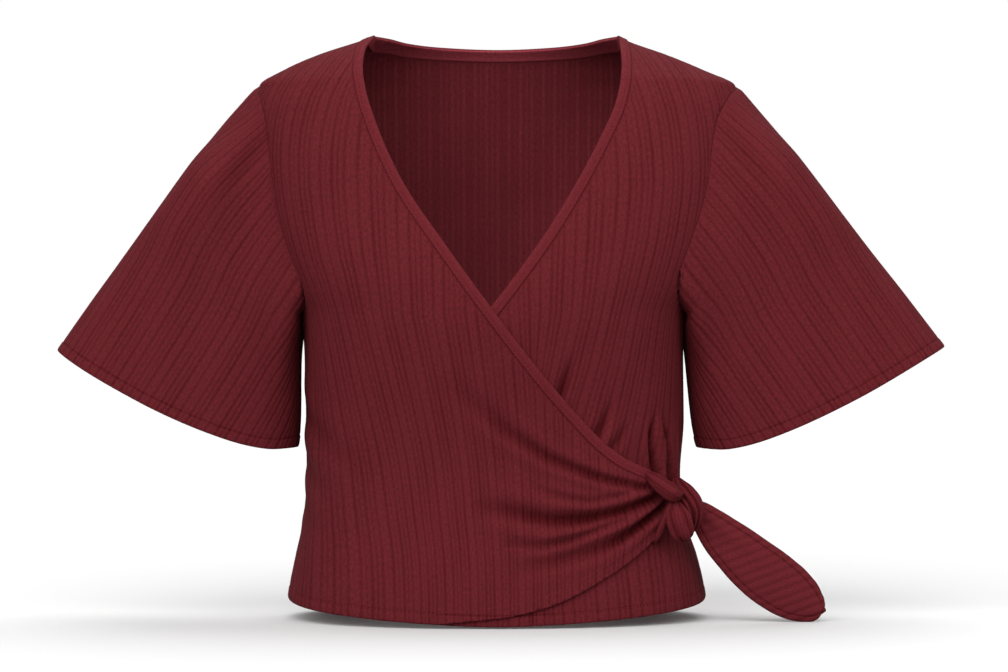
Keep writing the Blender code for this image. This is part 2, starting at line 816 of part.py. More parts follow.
def sleeve_column(side, face, seam_point, share):
    """Points down the sleeve from a point of the armhole to the hem."""
    first_share, first = cap_place(side, seam_point)
    if share in (0, 1):
        first_share = share
    last = hem_place(side, share)
    miss = seam_point - sleeve_point(side, face, first_share, first)
    points = []
    for part in np.linspace(0, 1, SLEEVE_ROWS + 1) ** SLEEVE_ROW_SPREAD:
        along = first + part * (last - first)
        place = sleeve_point(side, face, first_share + part * (share - first_share), along)
        place += miss * (1 - ramp(along - first, 0, CAP_BLEND))
        clearance = SLEEVE_CLEARANCE * min((along - first) / SLEEVE_CLEARANCE_WAY, 1.0)
        points.append(beside_body(side, face, place, clearance))
    return points


def build_sleeve(name, side, collection):
    columns, body_normals = [], []
    for face, numbers in ((FRONT, range(ARMHOLE_STEPS + 1)), (BACK, range(ARMHOLE_STEPS - 1, 0, -1))):
        line = armhole(face, side, 0.0)[::-1]
        for number in numbers:
            around, height = line[number]
            root = body_point(face, around, height)
            columns.append(sleeve_column(side, face, root, number / ARMHOLE_STEPS))
            body_normals.append(body_normal(face, around, height))
    outer, body_normals = np.array(columns), np.array(body_normals)
    round_step = np.roll(outer, -1, axis=0) - np.roll(outer, 1, axis=0)
    off_panel = unit(side * np.cross(body_normals, round_step[:, 0]))
    fold = (1 - each_row(unit(outer[:, 1] - outer[:, 0]), off_panel)) / 2
    outer[:, 0] += SEAM_GAP / 2 * off_panel + SEAM_GAP * fold * body_normals
    normals = unit(side * np.cross(round_step, np.gradient(outer, axis=1)))
    lean = np.clip(each_row(normals[:, 0], off_panel), 0, None)
    normals[:, 0] = unit(normals[:, 0] - lean * off_panel)
    return wall(name, outer, outer - CLOTH * normals, collection, ring=True, flip=side < 0)


# The knot


def build_stretch(name, rows, collection):
    """A rounded band of bunched cloth along its own line, closed at both ends."""
    rows = table(KNOT_COLUMNS, rows)
    stations, sides = KNOT_STEPS
    columns = smooth_line(*(rows[column] for column in KNOT_COLUMNS.split()))
    line = columns[np.linspace(0, FINE - 1, stations + 1).astype(int)]
    along = np.gradient(line[:, :3], axis=0)
    rings = []
    for (x, y, z, width, thickness, roll), way in zip(line, along):
        way = way / np.linalg.norm(way)
        across = np.cross(way, (0, -1, 0))
        across /= np.linalg.norm(across)
        out = np.cross(across, way)
        turn = math.radians(roll)
        turned = across * math.cos(turn) + out * math.sin(turn)
        out = out * math.cos(turn) - across * math.sin(turn)
        across = turned
        for number in range(sides):
            angle = 2 * math.pi * number / sides
            sideways = width / 2 * math.cos(angle) * across
            outwards = thickness / 2 * math.sin(angle) * out
            rings.append(np.array([x, y, z]) + sideways + outwards)
    faces = [list(range(sides)), [stations * sides + number for number in range(sides)][::-1]]
    for station in range(stations):
        for number in range(sides):
            beside = (number + 1) % sides
            low, high = station * sides, (station + 1) * sides
            faces.append([low + beside, low + number, high + number, high + beside])
    return new_object(name, rings, faces, collection)


def build_tail(collection):
    line = smooth_line(TAIL["x"], TAIL["y"], TAIL["z"], TAIL["half_width"])
    long_steps, cross_steps = TAIL_STEPS
    line = line[np.linspace(0, FINE - 1, long_steps + 1).astype(int)]
    outer = np.empty((cross_steps + 1, long_steps + 1, 3))
    way = np.gradient(line[:, :3], axis=0)
    for station, (x, y, z, half) in enumerate(line):
        across = np.cross(way[station], (0, 1, 0))
        across /= np.linalg.norm(across)
        for number in range(cross_steps + 1):
            share = 2 * number / cross_steps - 1
            bow = TAIL_BOW * share**2
            outer[number, station] = np.array([x, y + bow, z]) + share * half * across
    inner = outer + np.array([0.0, TAIL_CLOTH, 0.0])
    return wall("tie_tail", outer, inner, collection, flip=True)


def main():
    for obj in list(bpy.data.objects):
        bpy.data.objects.remove(obj, do_unlink=True)
    collection = bpy.data.collections.new("wrap_top")
    bpy.context.scene.collection.children.link(collection)
    build_back(collection)
    build_front_over(collection)
    build_front_under(collection)
    build_bindings(collection)
    build_sleeve("sleeve_right", RIGHT_SIDE, collection)
    build_sleeve("sleeve_left", LEFT_SIDE, collection)
    for name, rows in KNOT_STRETCHES.items():
        build_stretch(name, rows, collection)
    build_tail(collection)


main()
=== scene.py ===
"""Ribbed-knit wrap top, filled out as it hangs on the shoulders: its cloth, stitching and knot in full.

Metres, +Z up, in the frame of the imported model: the front faces -Y, +X is the wearer's left, and the origin
lies midway between the neck points of the shoulder seams. A place on the body is given by its face (FRONT
or BACK), by the way round from that face's centre line (around, + towards +X) and by height. A place on a
sleeve is given by the share of the way round from its top line to its underarm line and by the way along.
"""

import math

import bpy
import mathutils
import numpy as np
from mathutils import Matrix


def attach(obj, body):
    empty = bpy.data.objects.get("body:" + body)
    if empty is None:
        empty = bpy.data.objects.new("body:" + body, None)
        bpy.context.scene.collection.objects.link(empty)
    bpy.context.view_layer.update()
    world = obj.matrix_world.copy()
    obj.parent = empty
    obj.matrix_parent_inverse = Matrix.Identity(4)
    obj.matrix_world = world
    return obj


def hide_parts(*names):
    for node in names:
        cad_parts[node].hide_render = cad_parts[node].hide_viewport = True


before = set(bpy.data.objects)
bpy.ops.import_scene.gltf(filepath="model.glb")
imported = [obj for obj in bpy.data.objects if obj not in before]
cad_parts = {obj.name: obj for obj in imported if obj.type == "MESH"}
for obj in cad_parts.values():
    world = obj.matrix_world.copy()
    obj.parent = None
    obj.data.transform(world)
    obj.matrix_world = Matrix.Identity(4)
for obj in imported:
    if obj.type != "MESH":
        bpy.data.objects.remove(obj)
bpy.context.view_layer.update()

FRONT, BACK = -1, 1
RIGHT_SIDE, LEFT_SIDE = -1, 1

CLOTH = 0.0014
LAYER_STEP = 0.0027
BINDING_WIDTH = 0.0085
SHOULDER_POINT = -0.040
UNDERARM = -0.2245
FRONT_HEM = -0.465
BACK_HEM = -0.457
SIDE_HEM = -0.448
HEM_CURVE = 1.5
HEM_SPARE = 0.012
UNDER_START = -0.125

RIB_PITCH = 0.0082
BACK_RIB_PITCH = 0.0095
GROOVE_DEPTH = 0.00060
GROOVE_HALF_WIDTH = 0.00085
SHOULDER_HALF_WIDTH = 0.0019
MIDDLE_GROOVE_SHARE = 0.75
HEM_BAND = 0.0085
GRAIN_STRETCH = 0.45
RIB_LEAST_STEP = 0.00002
SEAM_DIP = 0.0003
SEAM_CALM = (0.0004, 0.0026)
SEAM_DIP_WIDTH = 0.0022
HALF_GAP = 0.0001


def table(columns, *rows):
    """A table's columns by name."""
    return dict(zip(columns.split(), np.array(rows, dtype=float).T))


def crease(*rows):
    """A crease line's table: its places, with a depth and a half width at each."""
    return table("around height depth half_width", *rows)


def columns_at(wanted, known, rows):
    """Every column of rows, interpolated from its known places to the wanted ones."""
    return np.column_stack([np.interp(wanted, known, column) for column in rows.T])


# The form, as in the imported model

TORSO = table(
    "height right_half left_half front_depth back_depth squareness",
    (-0.480, 0.172, 0.170, 0.113, 0.108, 2.35),
    (-0.440, 0.167, 0.165, 0.109, 0.104, 2.35),
    (-0.415, 0.162, 0.159, 0.106, 0.100, 2.35),
    (-0.391, 0.157, 0.151, 0.103, 0.096, 2.35),
    (-0.351, 0.154, 0.146, 0.101, 0.093, 2.35),
    (-0.307, 0.1545, 0.149, 0.105, 0.095, 2.3),
    (-0.260, 0.155, 0.1485, 0.113, 0.101, 2.3),
    (-0.224, 0.158, 0.151, 0.117, 0.106, 2.3),
    (-0.205, 0.167, 0.160, 0.116, 0.108, 2.3),
    (-0.177, 0.179, 0.174, 0.111, 0.109, 2.3),
    (-0.140, 0.189, 0.187, 0.102, 0.107, 2.3),
    (-0.100, 0.194, 0.194, 0.090, 0.099, 2.3),
    (-0.060, 0.195, 0.195, 0.073, 0.087, 2.3),
    (-0.040, 0.1915, 0.1905, 0.062, 0.079, 2.2),
    (-0.028, 0.173, 0.166, 0.052, 0.0735, 2.2),
    (-0.015, 0.144, 0.135, 0.038, 0.0665, 2.2),
    (-0.005, 0.114, 0.107, 0.022, 0.056, 2.1),
    (0.000, 0.099, 0.096, 0.010, 0.030, 2.1),
)
ARMHOLE = {
    RIGHT_SIDE: table(
        "height share",
        (-0.2245, 1), (-0.2235, 0.93), (-0.2195, 0.83), (-0.211, 0.76), (-0.2, 0.738), (-0.178, 0.762),
        (-0.144, 0.792), (-0.103, 0.818), (-0.073, 0.851), (-0.052, 0.91), (-0.04, 1),
    ),
    LEFT_SIDE: table(
        "height share",
        (-0.2245, 1), (-0.223, 0.9), (-0.217, 0.78), (-0.206, 0.7), (-0.191, 0.672), (-0.163, 0.69),
        (-0.13, 0.722), (-0.098, 0.746), (-0.071, 0.785), (-0.05, 0.875), (-0.04, 1),
    ),
}
OVER_EDGE = table(
    "around height",
    (-0.0995, 0), (-0.1065, -0.012), (-0.1075, -0.026), (-0.105, -0.044), (-0.0985, -0.066),
    (-0.077, -0.1155), (-0.038, -0.174), (-0.0025, -0.2226), (0.0417, -0.279), (0.0646, -0.305),
    (0.08, -0.321), (0.098, -0.335), (0.12, -0.3455),
)
UNDER_EDGE = table(
    "around height",
    (0.0985, 0), (0.0985, -0.012), (0.0985, -0.022), (0.097, -0.038), (0.0925, -0.058), (0.082, -0.082),
    (0.045, -0.149), (0.01, -0.199), (-0.047, -0.268), (-0.085, -0.308), (-0.125, -0.342),
)
OVER_LOW_EDGE = table(
    "around height",
    (-0.058, -0.4645), (-0.04, -0.4626), (-0.022, -0.4608), (0.006, -0.4576), (0.034, -0.4514),
    (0.05, -0.4458), (0.083, -0.4288), (0.11, -0.4119), (0.13, -0.3965), (0.1485, -0.3775),
)
BACK_NECK = table(
    "share height",
    (0, -0.0062), (0.35, -0.0048), (0.6, -0.0028), (0.8, -0.0007), (0.92, -0.0001), (1, 0),
)
SLEEVE_SLOPE = math.radians(37.2)
SLEEVE_TOP = (0.1906, -0.0400)
SLEEVE_INNER_CORNER = {RIGHT_SIDE: (0.1600, -0.3285), LEFT_SIDE: (0.1590, -0.3295)}
SLEEVE = table(
    "along right_top left_top depth squareness",
    (-0.020, 0.0000, 0.0000, 0.046, 3.4),
    (0.000, -0.0020, -0.0016, 0.050, 3.4),
    (0.007, -0.0044, -0.0038, 0.0515, 3.4),
    (0.019, -0.0052, -0.0042, 0.054, 3.4),
    (0.042, -0.0060, -0.0046, 0.057, 3.4),
    (0.086, -0.0058, -0.0050, 0.059, 3.4),
    (0.125, -0.0050, -0.0052, 0.058, 3.2),
    (0.165, -0.0044, -0.0058, 0.056, 2.6),
    (0.219, -0.0034, -0.0070, 0.056, 2.3),
    (0.280, -0.0010, -0.0072, 0.057, 2.2),
)
SLEEVE_HEM = {
    RIGHT_SIDE: table(
        "across along",
        (-0.01, 0.2676), (0, 0.2672), (0.078, 0.2574), (0.148, 0.2406), (0.182, 0.2263), (0.2, 0.2118),
        (0.215, 0.1968),
    ),
    LEFT_SIDE: table(
        "across along",
        (-0.01, 0.2684), (0, 0.2666), (0.078, 0.2554), (0.148, 0.2399), (0.182, 0.2266), (0.2, 0.2126),
        (0.215, 0.1976),
    ),
}
CAP_BLEND = 0.075
SLEEVE_BEYOND = 0.080
UNDERARM_EASE = 0.004
SLEEVE_FULLNESS = {RIGHT_SIDE: 0.0090, LEFT_SIDE: 0.0115}
SLEEVE_FULLNESS_HIGH = 0.6
SLEEVE_CLEARANCE = 0.0015
SLEEVE_CLEARANCE_WAY = 0.012

FINE = 181
SHARES = 241
LEVELS = 481


def smooth_at(rows, key, value, where):
    """A table's value at places along its key column, by a monotone cubic through the rows."""
    known, wanted = rows[key], rows[value]
    step = np.diff(known)
    rise = np.diff(wanted) / step
    slope = np.zeros(len(known))
    slope[0], slope[-1] = rise[0], rise[-1]
    same_way = rise[:-1] * rise[1:] > 0
    before, after = rise[:-1][same_way], rise[1:][same_way]
    near = 2 * step[1:][same_way] + step[:-1][same_way]
    far = step[1:][same_way] + 2 * step[:-1][same_way]
    slope[1:-1][same_way] = (near + far) / (near / before + far / after)
    where = np.clip(where, known[0], known[-1])
    row = np.clip(np.searchsorted(known, where) - 1, 0, len(step) - 1)
    part = (where - known[row]) / step[row]
    rest = 1 - part
    return (
        wanted[row] * (1 + 2 * part) * rest**2
        + wanted[row + 1] * (3 - 2 * part) * part**2
        + step[row] * (slope[row] * part * rest**2 - slope[row + 1] * rest * part**2)
    )


def ramp(value, low, high):
    """0 below low, 1 above high, and a smooth rise between them."""
    part = np.clip((value - low) / (high - low), 0.0, 1.0)
    return part * part * (3 - 2 * part)


def bell(value, half_width):
    return np.exp(-((value / half_width) ** 2))


def unit(vectors):
    return vectors / np.maximum(np.linalg.norm(vectors, axis=-1, keepdims=True), 1e-12)


def lengths_along(points):
    """The way walked from the first point to each point."""
    steps = np.linalg.norm(np.diff(points, axis=0), axis=1)
    return np.concatenate([[0.0], np.cumsum(steps)])


def divided(line, steps, places=None):
    """A line cut into steps of equal length, measured along other places of the same line if given."""
    walked = lengths_along(line if places is None else places)
    wanted = np.linspace(0, walked[-1], steps + 1)
    return columns_at(wanted, walked, line)


def smooth_line(*columns, count=FINE):
    """Closely spaced points of a smooth line through a table's rows."""
    points = np.column_stack(columns)
    rows = {"walked": lengths_along(points)}
    wanted = np.linspace(0, rows["walked"][-1], count)
    lines = []
    for number, column in enumerate(points.T):
        rows[number] = column
        lines.append(smooth_at(rows, "walked", number, wanted))
    return np.column_stack(lines)


def moved_aside(line, distance):
    """A line moved to its left by a distance, within the cloth."""
    along = unit(np.gradient(line, axis=0))
    return line + distance * np.column_stack([-along[:, 1], along[:, 0]])


def joined(*lines):
    return np.concatenate([line if not number else line[1:] for number, line in enumerate(lines)])


def looked_up(grid, first, second):
    """Values of a grid at fractional indices along its first two axes."""
    low_1 = np.clip(np.floor(first).astype(int), 0, grid.shape[0] - 2)
    low_2 = np.clip(np.floor(second).astype(int), 0, grid.shape[1] - 2)
    part_1 = np.clip(first - low_1, 0, 1)[..., None]
    part_2 = np.clip(second - low_2, 0, 1)[..., None]
    values = grid if grid.ndim == 3 else grid[..., None]
    low = values[low_1, low_2] * (1 - part_2) + values[low_1, low_2 + 1] * part_2
    high = values[low_1 + 1, low_2] * (1 - part_2) + values[low_1 + 1, low_2 + 1] * part_2
    found = low * (1 - part_1) + high * part_1
    return found if grid.ndim == 3 else found[..., 0]


# The body's surface

LOWEST = TORSO["height"][0]


def even_section(points):
    """A level section's points at even shares of the way round it, and its whole length."""
    walked = lengths_along(points)
    wanted = np.linspace(0, walked[-1], SHARES)
    return columns_at(wanted, walked, points), walked[-1]


def body_sections(face, side):
    """All level sections of a quarter of the body, and their lengths."""
    sections, lengths = [], []
    turn = np.linspace(0, math.pi / 2, FINE)
    for height in np.linspace(LOWEST, 0.0, LEVELS):
        half = smooth_at(TORSO, "height", "left_half" if side > 0 else "right_half", height)
        depth = smooth_at(TORSO, "height", "front_depth" if face < 0 else "back_depth", height)
        power = 2 / smooth_at(TORSO, "height", "squareness", height)
        points = np.column_stack([half * np.sin(turn) ** power, depth * np.cos(turn) ** power])
        section, length = even_section(points)
        sections.append(section)
        lengths.append(length)
    return np.array(sections), np.array(lengths)


SIDES = (RIGHT_SIDE, LEFT_SIDE)
FACES = (FRONT, BACK)
BODY = {(face, side): body_sections(face, side) for face in FACES for side in SIDES}


def level_of(height):
    return (height - LOWEST) / -LOWEST * (LEVELS - 1)


def to_side(face, side, height):
    """The way from a face's centre line to the side seam or shoulder seam."""
    return np.interp(level_of(height), np.arange(LEVELS), BODY[face, side][1])


def body_points(face, around, height):
    points = np.empty(np.shape(around) + (3,))
    for side in SIDES:
        here = (around > 0) == (side > 0)
        share = np.abs(around[here]) / to_side(face, side, height[here])
        section = looked_up(BODY[face, side][0], level_of(height[here]), share * (SHARES - 1))
        points[here] = np.column_stack([side * section[:, 0], face * section[:, 1], height[here]])
    return points


NORMAL_REACH = 0.0015


def body_normals(face, around, height):
    """The outward normals of the body's surface."""
    upper = np.minimum(height + NORMAL_REACH, 0.0)
    lower = height - NORMAL_REACH
    up = body_points(face, around, upper) - body_points(face, around, lower)
    along = body_points(face, around + NORMAL_REACH, height)
    along = along - body_points(face, around - NORMAL_REACH, height)
    return unit(-face * np.cross(along, up))


def hem_height(face, around):
    lowest = FRONT_HEM if face < 0 else BACK_HEM
    reach = np.where(around > 0, to_side(face, LEFT_SIDE, SIDE_HEM), to_side(face, RIGHT_SIDE, SIDE_HEM))
    return lowest + (SIDE_HEM - lowest) * np.minimum(np.abs(around) / reach, 1.0) ** HEM_CURVE


# Outlines of the panels, as lines of (around, height)


def side_seam(face, side):
    heights = np.linspace(SIDE_HEM - HEM_SPARE, UNDERARM, FINE)
    return np.column_stack([side * (to_side(face, side, heights) - HALF_GAP), heights])


def armhole(face, side):
    """From the underarm up to the shoulder point."""
    heights = np.linspace(UNDERARM, SHOULDER_POINT, FINE)
    shares = smooth_at(ARMHOLE[side], "height", "share", heights)
    return np.column_stack([side * (shares * to_side(face, side, heights) - HALF_GAP), heights])


def shoulder_seam(face, side):
    heights = np.linspace(SHOULDER_POINT, 0.0, FINE)
    return np.column_stack([side * (to_side(face, side, heights) - HALF_GAP), heights])


def below_hem(face, start, end):
    around = np.linspace(start, end, FINE)
    return np.column_stack([around, hem_height(face, around) - HEM_SPARE])


def back_neck_line():
    """The back neck's edge, from the right neck point to the left one."""
    share = np.concatenate([-BACK_NECK["share"][:0:-1], BACK_NECK["share"]])
    height = np.concatenate([BACK_NECK["height"][:0:-1], BACK_NECK["height"]])
    reach = np.where(share > 0, to_side(BACK, LEFT_SIDE, height), to_side(BACK, RIGHT_SIDE, height))
    return smooth_line(share * reach, height)


def neck_line(name, way):
    """A neck edge moved into its panel by a way."""
    if name == "back":
        line = back_neck_line()
        return moved_aside(line, -way)
    rows = OVER_EDGE if name == "over" else UNDER_EDGE
    line = smooth_line(*rows.values())
    return moved_aside(line, -way if name == "over" else way)


# Ribs: how far each rib leans from its place at the reference height, as it runs down the cloth

RIB_REFERENCE = -0.224
OVER_DRIFT = table(
    "height lean",
    (-0.48, 0.044), (-0.4505, 0.0436), (-0.419, 0.0422), (-0.38, 0.0371), (-0.3405, 0.0313),
    (-0.301, 0.0218), (-0.262, 0.0109), (-0.224, 0),
)
OVER_DRIFT_SHARE = table(
    "rib share",
    (-0.23, 0.1), (-0.2, 0.3), (-0.175, 0.6), (-0.145, 0.95), (-0.12, 1), (-0.088, 0.85), (-0.047, 0.64),
    (-0.006, 0.4), (0.037, 0.13), (0.09, -0.17), (0.16, -0.28),
)
OVER_SWAY = table(
    "height lean",
    (-0.224, 0), (-0.198, -0.0065), (-0.1786, -0.0125), (-0.159, -0.017), (-0.14, -0.02),
    (-0.1207, -0.0215), (-0.1015, -0.0213), (-0.082, -0.019), (-0.0567, -0.012), (-0.0305, 0.002),
    (-0.0128, 0.014), (0, 0.022),
)
OVER_SWAY_SHARE = table(
    "rib share",
    (-0.24, 1.2), (-0.2, 1.35), (-0.175, 1.25), (-0.135, 1), (-0.11, 0.75), (-0.088, 0.4), (-0.047, 0.08),
    (0, 0),
)
UNDER_DRIFT = table(
    "height lean",
    (-0.48, -0.027), (-0.45, -0.029), (-0.4, -0.034), (-0.37, -0.034), (-0.33, -0.0285), (-0.301, -0.02),
    (-0.262, -0.009), (-0.224, 0),
)
UNDER_DRIFT_SHARE = table(
    "rib share",
    (-0.13, 0), (0.015, -0.3), (0.04, 0.6), (0.06, 1), (0.085, 1.1), (0.108, 1), (0.13, 0.92), (0.16, 0.6),
    (0.2, 0.25), (0.23, 0.1),
)
UNDER_SWAY = table(
    "height lean",
    (-0.224, 0), (-0.198, 0.0064), (-0.159, 0.0137), (-0.1207, 0.0168), (-0.082, 0.0137), (-0.049, 0.006),
    (-0.025, -0.004), (0, -0.018),
)
UNDER_SWAY_SHARE = table(
    "rib share",
    (-0.13, 0), (0.015, -0.2), (0.04, 0.1), (0.06, 0.28), (0.085, 0.75), (0.108, 1), (0.13, 1.05),
    (0.16, 1.1), (0.24, 1),
)


def rib_flow(drift, drift_share, sway, sway_share):
    """A function that gives the way round of a rib at a height."""

    def flow(rib, height):
        lower = smooth_at(drift, "height", "lean", np.minimum(height, RIB_REFERENCE))
        upper = smooth_at(sway, "height", "lean", np.maximum(height, RIB_REFERENCE))
        lower = lower * smooth_at(drift_share, "rib", "share", rib)
        upper = upper * smooth_at(sway_share, "rib", "share", rib)
        return rib + np.where(height < RIB_REFERENCE, lower, upper)

    return flow


def straight_flow(rib, height):
    return rib + 0.0 * height


RIB_PLACES = np.array([-0.36, -0.20, -0.11, -0.05, 0.0, 0.05, 0.11, 0.20, 0.36, 0.5])


def rib_columns(low, high, pitch):
    """Closely spaced rib places, closer beside each groove."""
    ribs = np.arange(math.floor(low / pitch), math.ceil(high / pitch) + 1)
    return ((ribs[:, None] + RIB_PLACES[None]) * pitch).ravel()


# How uneven the grooves are: two waves with a turn for each rib and each metre down, and one for each rib
GROOVE_LEVEL, GROOVE_UNEVEN = 0.85, 0.25
GROOVE_WAVES = ((12.9, 41.0), (7.1, -23.0))
MIDDLE_LEVEL, MIDDLE_UNEVEN, MIDDLE_WAVE = 0.85, 0.45, 5.3


def dent(gap):
    """A narrow groove with soft shoulders: 1 in its bottom, 0 on the rib."""
    return (bell(gap, GROOVE_HALF_WIDTH) + bell(gap, SHOULDER_HALF_WIDTH)) / 2


def groove(rib, down, pitch):
    """How deep a place lies in the groove between two ribs, or in the shallow one along a rib's middle."""
    main = (rib / pitch + 0.5) % 1 - 0.5
    middle = (rib / pitch) % 1 - 0.5
    number = np.round(2 * rib / pitch)
    first, second = (np.sin(by_rib * number + by_way * down) for by_rib, by_way in GROOVE_WAVES)
    share = MIDDLE_GROOVE_SHARE * (MIDDLE_LEVEL + MIDDLE_UNEVEN * np.sin(MIDDLE_WAVE * number))
    depth = dent(main * pitch) + share * bell(middle * pitch, GROOVE_HALF_WIDTH)
    return depth * (GROOVE_LEVEL + GROOVE_UNEVEN * first * second)


# Creases: soft troughs along lines, with a depth and half width at each row; ridges have a depth below 0

CREASE_STEPS = 28
SHOULDER_SHARE = 0.35
SHOULDER_PLACE = 1.9


def near_line(places, line):
    """Each place's distance to a line, and its fractional index along it."""
    best = np.full(len(places), np.inf)
    where = np.zeros(len(places))
    for number in range(len(line) - 1):
        first, way = line[number], line[number + 1] - line[number]
        part = np.clip((places - first) @ way / max(way @ way, 1e-18), 0, 1)
        gap = np.linalg.norm(places - first - part[:, None] * way, axis=1)
        nearer = gap < best
        best = np.where(nearer, gap, best)
        where = np.where(nearer, number + part, where)
    return best, where


def crease_relief(places, creases):
    """How far the cloth stands out (or, below 0, in) at places, from its creases."""
    out = np.zeros(len(places))
    for rows in creases:
        line = smooth_line(*rows.values(), count=CREASE_STEPS)
        reach = 4 * line[:, 3].max()
        low, high = line[:, :2].min(axis=0) - reach, line[:, :2].max(axis=0) + reach
        here = np.flatnonzero(((places > low) & (places < high)).all(axis=1))
        if not len(here):
            continue
        gap, where = near_line(places[here], line[:, :2])
        index = np.arange(CREASE_STEPS)
        depth, width = np.interp(where, index, line[:, 2]), np.interp(where, index, line[:, 3])
        shoulders = bell(gap - SHOULDER_PLACE * width, width)
        out[here] -= depth * (bell(gap, width) - SHOULDER_SHARE * shoulders)
    return out


KNOT_FOLDS = (
    crease(
        (-0.0445, -0.271, 0, 0.012), (-0.0135, -0.2957, 0.0014, 0.0075), (0.0055, -0.3135, 0.0024, 0.0062),
        (0.0225, -0.3251, 0.003, 0.0052), (0.038, -0.3352, 0.0034, 0.0046),
        (0.0575, -0.3431, 0.0038, 0.004), (0.078, -0.351, 0.0042, 0.0036), (0.102, -0.3569, 0.004, 0.0032),
        (0.1245, -0.3614, 0.0034, 0.0026),
    ),
    crease(
        (-0.0215, -0.3722, 0, 0.01), (-0.0115, -0.3737, 0.0012, 0.008), (0.0095, -0.3768, 0.003, 0.0068),
        (0.025, -0.3807, 0.0042, 0.0062), (0.0445, -0.3838, 0.005, 0.0056),
        (0.064, -0.3833, 0.0056, 0.0052), (0.0845, -0.3798, 0.0062, 0.0046),
        (0.099, -0.3762, 0.0068, 0.004), (0.114, -0.3704, 0.0074, 0.0034), (0.131, -0.3639, 0.007, 0.0028),
    ),
    crease(
        (0.025, -0.3568, 0, 0.004), (0.038, -0.3623, 0.0012, 0.0034), (0.0575, -0.3678, 0.0022, 0.003),
        (0.0705, -0.3695, 0.0024, 0.0028), (0.0915, -0.366, 0.002, 0.0028), (0.112, -0.361, 0.001, 0.0026),
    ),
    crease(
        (0.0015, -0.4006, 0, 0.006), (0.0115, -0.4021, 0.0014, 0.0042), (0.031, -0.4037, 0.0026, 0.0036),
        (0.048, -0.4008, 0.0034, 0.0032), (0.064, -0.3963, 0.004, 0.003), (0.0845, -0.389, 0.004, 0.003),
        (0.099, -0.3839, 0.0036, 0.003), (0.1155, -0.3759, 0.004, 0.0028), (0.132, -0.3671, 0.0046, 0.0026),
    ),
    crease(
        (0.0095, -0.4212, 0, 0.009), (0.025, -0.4189, 0.0012, 0.007), (0.044, -0.4152, 0.002, 0.006),
        (0.064, -0.4101, 0.0026, 0.0056), (0.084, -0.4043, 0.0034, 0.005), (0.0985, -0.397, 0.0052, 0.0044),
        (0.1085, -0.3904, 0.0066, 0.004), (0.1205, -0.3822, 0.0076, 0.0036),
        (0.133, -0.3726, 0.0072, 0.003),
    ),
)
KNOT_AROUND = 0.136
KNOT_HEIGHT = -0.366
KNOT_PUFF = 0.0085
KNOT_REACH_AROUND = 0.075
KNOT_REACH_HEIGHT = 0.034
LAYERS_FROM = (-0.190, -0.140)
LAYERS_BELOW = (-0.190, -0.130)


def knot_relief(places):
    """How far the over front stands out where the knot gathers it."""
    near = ((places - (KNOT_AROUND, KNOT_HEIGHT)) / (KNOT_REACH_AROUND, KNOT_REACH_HEIGHT)) ** 2
    return KNOT_PUFF * np.exp(-near.sum(axis=1)) + crease_relief(places, KNOT_FOLDS)


def over_lift(places):
    """How far the over front lies outside the under front."""
    beside = ramp(places[:, 0], *LAYERS_FROM)
    below = 1 - ramp(places[:, 1], *LAYERS_BELOW)
    return beside * below * LAYER_STEP + knot_relief(places)


def under_lift(places):
    """How far the under front gives way below the over front's folds."""
    return np.minimum(knot_relief(places), 0.0)


def no_lift(places):
    return np.zeros(len(places))


# Meshes

SNAP = 0.00012


def clipped(values, data, columns, rows):
    """A lattice's data and faces where a value is positive, cut along its zero line."""
    values = np.where(np.abs(values) < SNAP, 0.0, values)
    index = np.arange(columns * rows).reshape(columns, rows)
    corners = np.stack([index[:-1, :-1], index[1:, :-1], index[1:, 1:], index[:-1, 1:]], axis=-1)
    corners = corners.reshape(-1, 4)
    kept = values[corners] >= 0
    faces = corners[kept.all(axis=1)].tolist()
    crossings, added = {}, []
    for cell in corners[kept.any(axis=1) & ~kept.all(axis=1)].tolist():
        polygon = []
        for first, last in zip(cell, cell[1:] + cell[:1]):
            if values[first] >= 0:
                polygon.append(first)
            if (values[first] >= 0) == (values[last] >= 0) or 0 in (values[first], values[last]):
                continue
            key = (min(first, last), max(first, last))
            if key not in crossings:
                crossings[key] = len(data) + len(added)
                part = values[key[0]] / (values[key[0]] - values[key[1]])
                added.append(data[key[0]] + part * (data[key[1]] - data[key[0]]))
            polygon.append(crossings[key])
        if len(polygon) > 2:
            faces.append(polygon)
    if added:
        data = np.concatenate([data, np.array(added)])
    used = np.unique(np.concatenate([np.array(face) for face in faces]))
    renumbered = np.full(len(data), -1)
    renumbered[used] = np.arange(len(used))
    return data[used], [renumbered[face].tolist() for face in faces]


def surface_normals(points, faces):
    mesh = bpy.data.meshes.new("normals")
    mesh.from_pydata(points.tolist(), [], faces)
    normals = np.empty(len(points) * 3, np.float32)
    mesh.vertex_normals.foreach_get("vector", normals)
    bpy.data.meshes.remove(mesh)
    return normals.reshape(-1, 3).astype(float)


def make_piece(name, points, faces, material, uv=None, shade=None):
    mesh = bpy.data.meshes.new(name)
    mesh.from_pydata(np.asarray(points).tolist(), [], faces)
    mesh.shade_smooth()
    if uv is not None:
        layer = mesh.uv_layers.new(name="UVMap")
        corner = np.empty(len(mesh.loops), np.int32)
        mesh.loops.foreach_get("vertex_index", corner)
        layer.data.foreach_set("uv", np.asarray(uv, np.float32)[corner].ravel())
    if shade is not None:
        # The groove attribute carries painted shade (above 0) and painted light (below 0) for the material.
        attribute = mesh.attributes.new("groove", "FLOAT", "POINT")
        attribute.data.foreach_set("value", np.asarray(shade, np.float32))
    mesh.materials.append(material)
    obj = bpy.data.objects.new(name, mesh)
    bpy.context.scene.collection.objects.link(obj)
    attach(obj, "root")
    return obj


INNER_SHADE = 1.0
INNER_LIGHT = 0.30
FOLD_SHADE = 2.0
FOLD_SHADE_DEPTH = 0.0075


